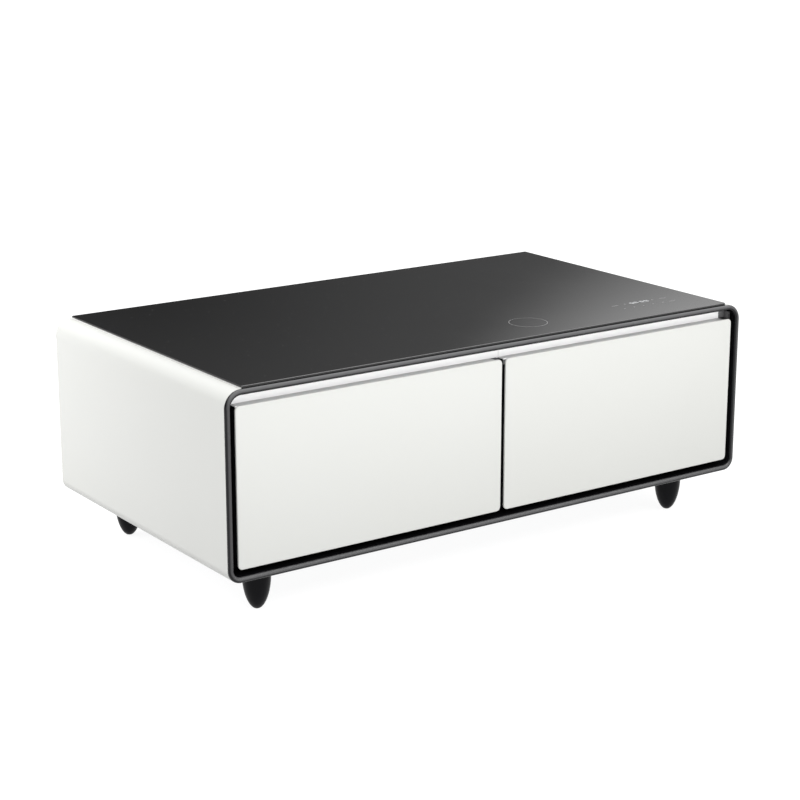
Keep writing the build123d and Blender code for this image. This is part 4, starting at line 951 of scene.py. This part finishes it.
def galvanised():
    """Zinc crystals: a random value for each cell moves the roughness."""
    metal = Finish("galvanised", (0.52, 0.53, 0.54), 0.42, metal=1.0)
    metal.shine(metal.cells(140, output="Color"), 0.32, 0.55)
    return metal.patches(60, 3.0, (0.4, 0.7), 0.6, (0.62, 0.63, 0.64))


def zinc_plate():
    """Plated steel with drawing lines and yellowish patches."""
    metal = Finish("zinc_plate", (0.6, 0.62, 0.64), 0.3, metal=1.0)
    metal.shine(metal.noise(90, 3.0), 0.24, 0.4)
    drawing_lines = metal.noise(1.0, 2.0, metal.mapped((1600, 30, 1600)))
    metal.bump(drawing_lines, 0.01 * millimetre, 0.4)
    return metal.patches(25, 4.0, (0.5, 0.8), 0.5, (0.66, 0.64, 0.55))


def fin_metal():
    """Thin rolled aluminium, slightly dented."""
    metal = Finish("fin_metal", (0.72, 0.73, 0.74), 0.38, metal=1.0)
    metal.shine(metal.noise(70, 3.0), 0.3, 0.5)
    metal.grain(240, 3.0, 0.04 * millimetre, 0.4)
    return metal.patches(18, 3.0, (0.5, 0.8), 0.4, (0.6, 0.6, 0.6))


def copper():
    """Drawn pipe that has darkened in patches."""
    metal = Finish("copper_pipe", (0.72, 0.36, 0.22), 0.3, metal=1.0)
    metal.shine(metal.noise(120, 3.0), 0.22, 0.42)
    return metal.patches(35, 4.0, (0.45, 0.75), 0.7, (0.42, 0.2, 0.13))


def cut_foam():
    """Rigid foam with open cells on its skin."""
    foam = Finish("cut_foam", (0.72, 0.62, 0.38), 0.9)
    foam.bump(foam.cells(420), 0.6 * millimetre, 0.6)
    return foam.patches(40, 4.0, (0.4, 0.7), 0.6, (0.6, 0.5, 0.28))


def tape_rubber():
    """Black foamed rubber with fine pores."""
    rubber = Finish("tape_rubber", (0.02, 0.02, 0.02), 0.85)
    rubber.bump(rubber.cells(1500), 0.1 * millimetre, 0.5)
    return rubber.shine(rubber.noise(40, 2.0), 0.8, 0.9)


def circuit_board():
    """Green board whose tracks run along the borders of cells."""
    board = Finish("circuit_board", (0.02, 0.11, 0.05), 0.35, Coat_Weight=0.3, Coat_Roughness=0.1)
    tracks = board.cells(260, "DISTANCE_TO_EDGE")
    board.tint(board.span(tracks, *track_edge, 0.0, 1.0), (0.015, 0.075, 0.035))
    return board.bump(tracks, 0.05 * millimetre, 0.5)


steel_parts = ("_middle_rails", "_inner_rails", "_drawer_frame")
drawer_steel = [side + part for side in ("left", "right") for part in steel_parts]
dress_all({
    galvanised: ("base_pan", "bulkhead", "top_tray"),
    zinc_plate: ("outer_rails", "foot_studs", "foot_anchors", "back_screws", *drawer_steel),
    fin_metal: ("condenser", "cold_plates"),
    copper: (
        "suction_line", "discharge_line", "liquid_line", "capillaries", "filter_drier", "charging_coil"),
    cut_foam: ("cabinet_foam",),
    tape_rubber: ("compressor_grommets", "glass_tape"),
    circuit_board: ("charger_board", "touch_board"),
})

# %% [markdown]
# A product picture on white needs a bright floor. This one glows a little, as a lit table for such
# pictures does, so the shadow under the cabinet stays faint. A far white wall closes the view beyond
# the floor's edge. Only the camera sees that wall, so the gloss goes on mirroring the sky.

# %% Floor and far wall
floor_half = 60.0
floor_glow = 0.88
wall_height = 30.0
wall_glow = 1.0
stage_grey = (0.2, 0.2, 0.2)
stage_rough = 0.9
glow_white = (1.0, 1.0, 1.0, 1.0)


def floor_paint():
    """White floor that glows a little, so that shadows stay faint."""
    paint = Finish(
        "floor_paint", stage_grey, stage_rough, Specular_IOR_Level=0.0, Emission_Strength=floor_glow)
    paint.shader.inputs["Emission Color"].default_value = glow_white
    return paint


def wall_white():
    """Plain white behind the floor's edge, which only the camera sees."""
    white = Finish(
        "wall_white", stage_grey, stage_rough, Specular_IOR_Level=0.0, Emission_Strength=wall_glow)
    white.shader.inputs["Emission Color"].default_value = glow_white
    return white


def plain_mesh(name, points, quads, finish):
    """Object from points and quads as they are, with one finish."""
    mesh = bpy.data.meshes.new(name)
    mesh.from_pydata(points.tolist(), [], quads)
    mesh.materials.append(finish.material)
    piece = bpy.data.objects.new(name, mesh)
    bpy.context.scene.collection.objects.link(piece)
    return piece


floor_points = np.array([[-1, -1, 0], [1, -1, 0], [1, 1, 0], [-1, 1, 0]]) * floor_half
floor = plain_mesh("floor", floor_points, [[0, 1, 2, 3]], floor_paint())

wall_points = np.vstack([floor_points, floor_points + (0, 0, wall_height)])
wall_quads = [[i, (i + 1) % 4, (i + 1) % 4 + 4, i + 4] for i in range(4)]
wall = plain_mesh("far_wall", wall_points, wall_quads, wall_white())
wall.visible_diffuse = False
wall.visible_glossy = False
wall.visible_shadow = False
print("floor side in metres:", 2 * floor_half, "wall faces:", len(wall.data.polygons))

# %% [markdown]
# The light comes from a sky and two wide soft lights. The glass looks out over the floor at a low
# angle, so what it mirrors is the far side of the room: dark on the left, with a large soft glow far
# back on the right, which fades across the pane. The sky is a gradient from a dark horizon to a
# bright top, and the glow is two round ones that overlap: a wide faint one and a small strong one
# above it. Each is given by its turn towards the right, its height and its radius in degrees, and its
# strength. The two lights aren't mirrored, so no white shape with hard edges lies on the glass.

# %% Sky and lights
sky_low = 0.025
sky_high = 2.8
sky_band = (0.17, 0.98)
glows = ((45.5, 6.5, 19.2, 0.13), (46.6, 21.8, 12.6, 1.9))


def studio_sky():
    """Radiance by direction: low near the horizon, high overhead, plus round glows that fade out."""
    world = bpy.data.worlds.new("studio")
    bpy.context.scene.world = world
    world.use_nodes = True
    nodes, links = world.node_tree.nodes, world.node_tree.links
    direction = nodes.new("ShaderNodeTexCoord").outputs["Generated"]

    def ramp(value, start, end, top, bottom=0.0):
        node = nodes.new("ShaderNodeMapRange")
        node.interpolation_type = "SMOOTHSTEP"
        for key, number in zip(range_sockets, (start, end, bottom, top)):
            node.inputs[key].default_value = number
        links.new(value, node.inputs["Value"])
        return node.outputs["Result"]

    split = nodes.new("ShaderNodeSeparateXYZ")
    links.new(direction, split.inputs["Vector"])
    total = ramp(split.outputs["Z"], *sky_band, sky_high, sky_low)
    for azimuth, height, radius, strength in glows:
        azimuth, height, radius = np.radians((azimuth, height, radius))
        towards = nodes.new("ShaderNodeVectorMath")
        towards.operation = "DOT_PRODUCT"
        flat = np.cos(height)
        towards.inputs[1].default_value = (np.sin(azimuth) * flat, np.cos(azimuth) * flat, np.sin(height))
        links.new(direction, towards.inputs[0])
        add = nodes.new("ShaderNodeMath")
        add.operation = "ADD"
        links.new(total, add.inputs[0])
        links.new(ramp(towards.outputs["Value"], np.cos(radius), 1.0, strength), add.inputs[1])
        total = add.outputs["Value"]
    links.new(total, nodes["Background"].inputs["Strength"])
    nodes["Background"].inputs["Color"].default_value = glow_white


studio_sky()


def soft_light(name, position, target, size, power):
    """Area light at a position, turned to face a target, and left out of what the gloss mirrors."""
    data = bpy.data.lights.new(name, "AREA")
    data.shape = "RECTANGLE"
    data.size, data.size_y = size
    data.energy = power
    lamp = bpy.data.objects.new(name, data)
    lamp.visible_glossy = False
    direction = Vector(target) - Vector(position)
    turn = direction.to_track_quat("-Z", "Y").to_matrix().to_4x4()
    lamp.matrix_world = Matrix.Translation(position) @ turn
    bpy.context.scene.collection.objects.link(lamp)


soft_light(
    "back_left", position=(-1.5, 1.0, 0.9), target=(-0.65, 0.35, 0.3), size=(0.8, 0.8), power=16)
soft_light(
    "front", position=(0.0, -0.9, 0.58), target=(0.0, -0.35, 0.41), size=(2.3, 0.22), power=5.7)
print("lights:", len(bpy.data.lights), "glows in the sky:", len(glows))
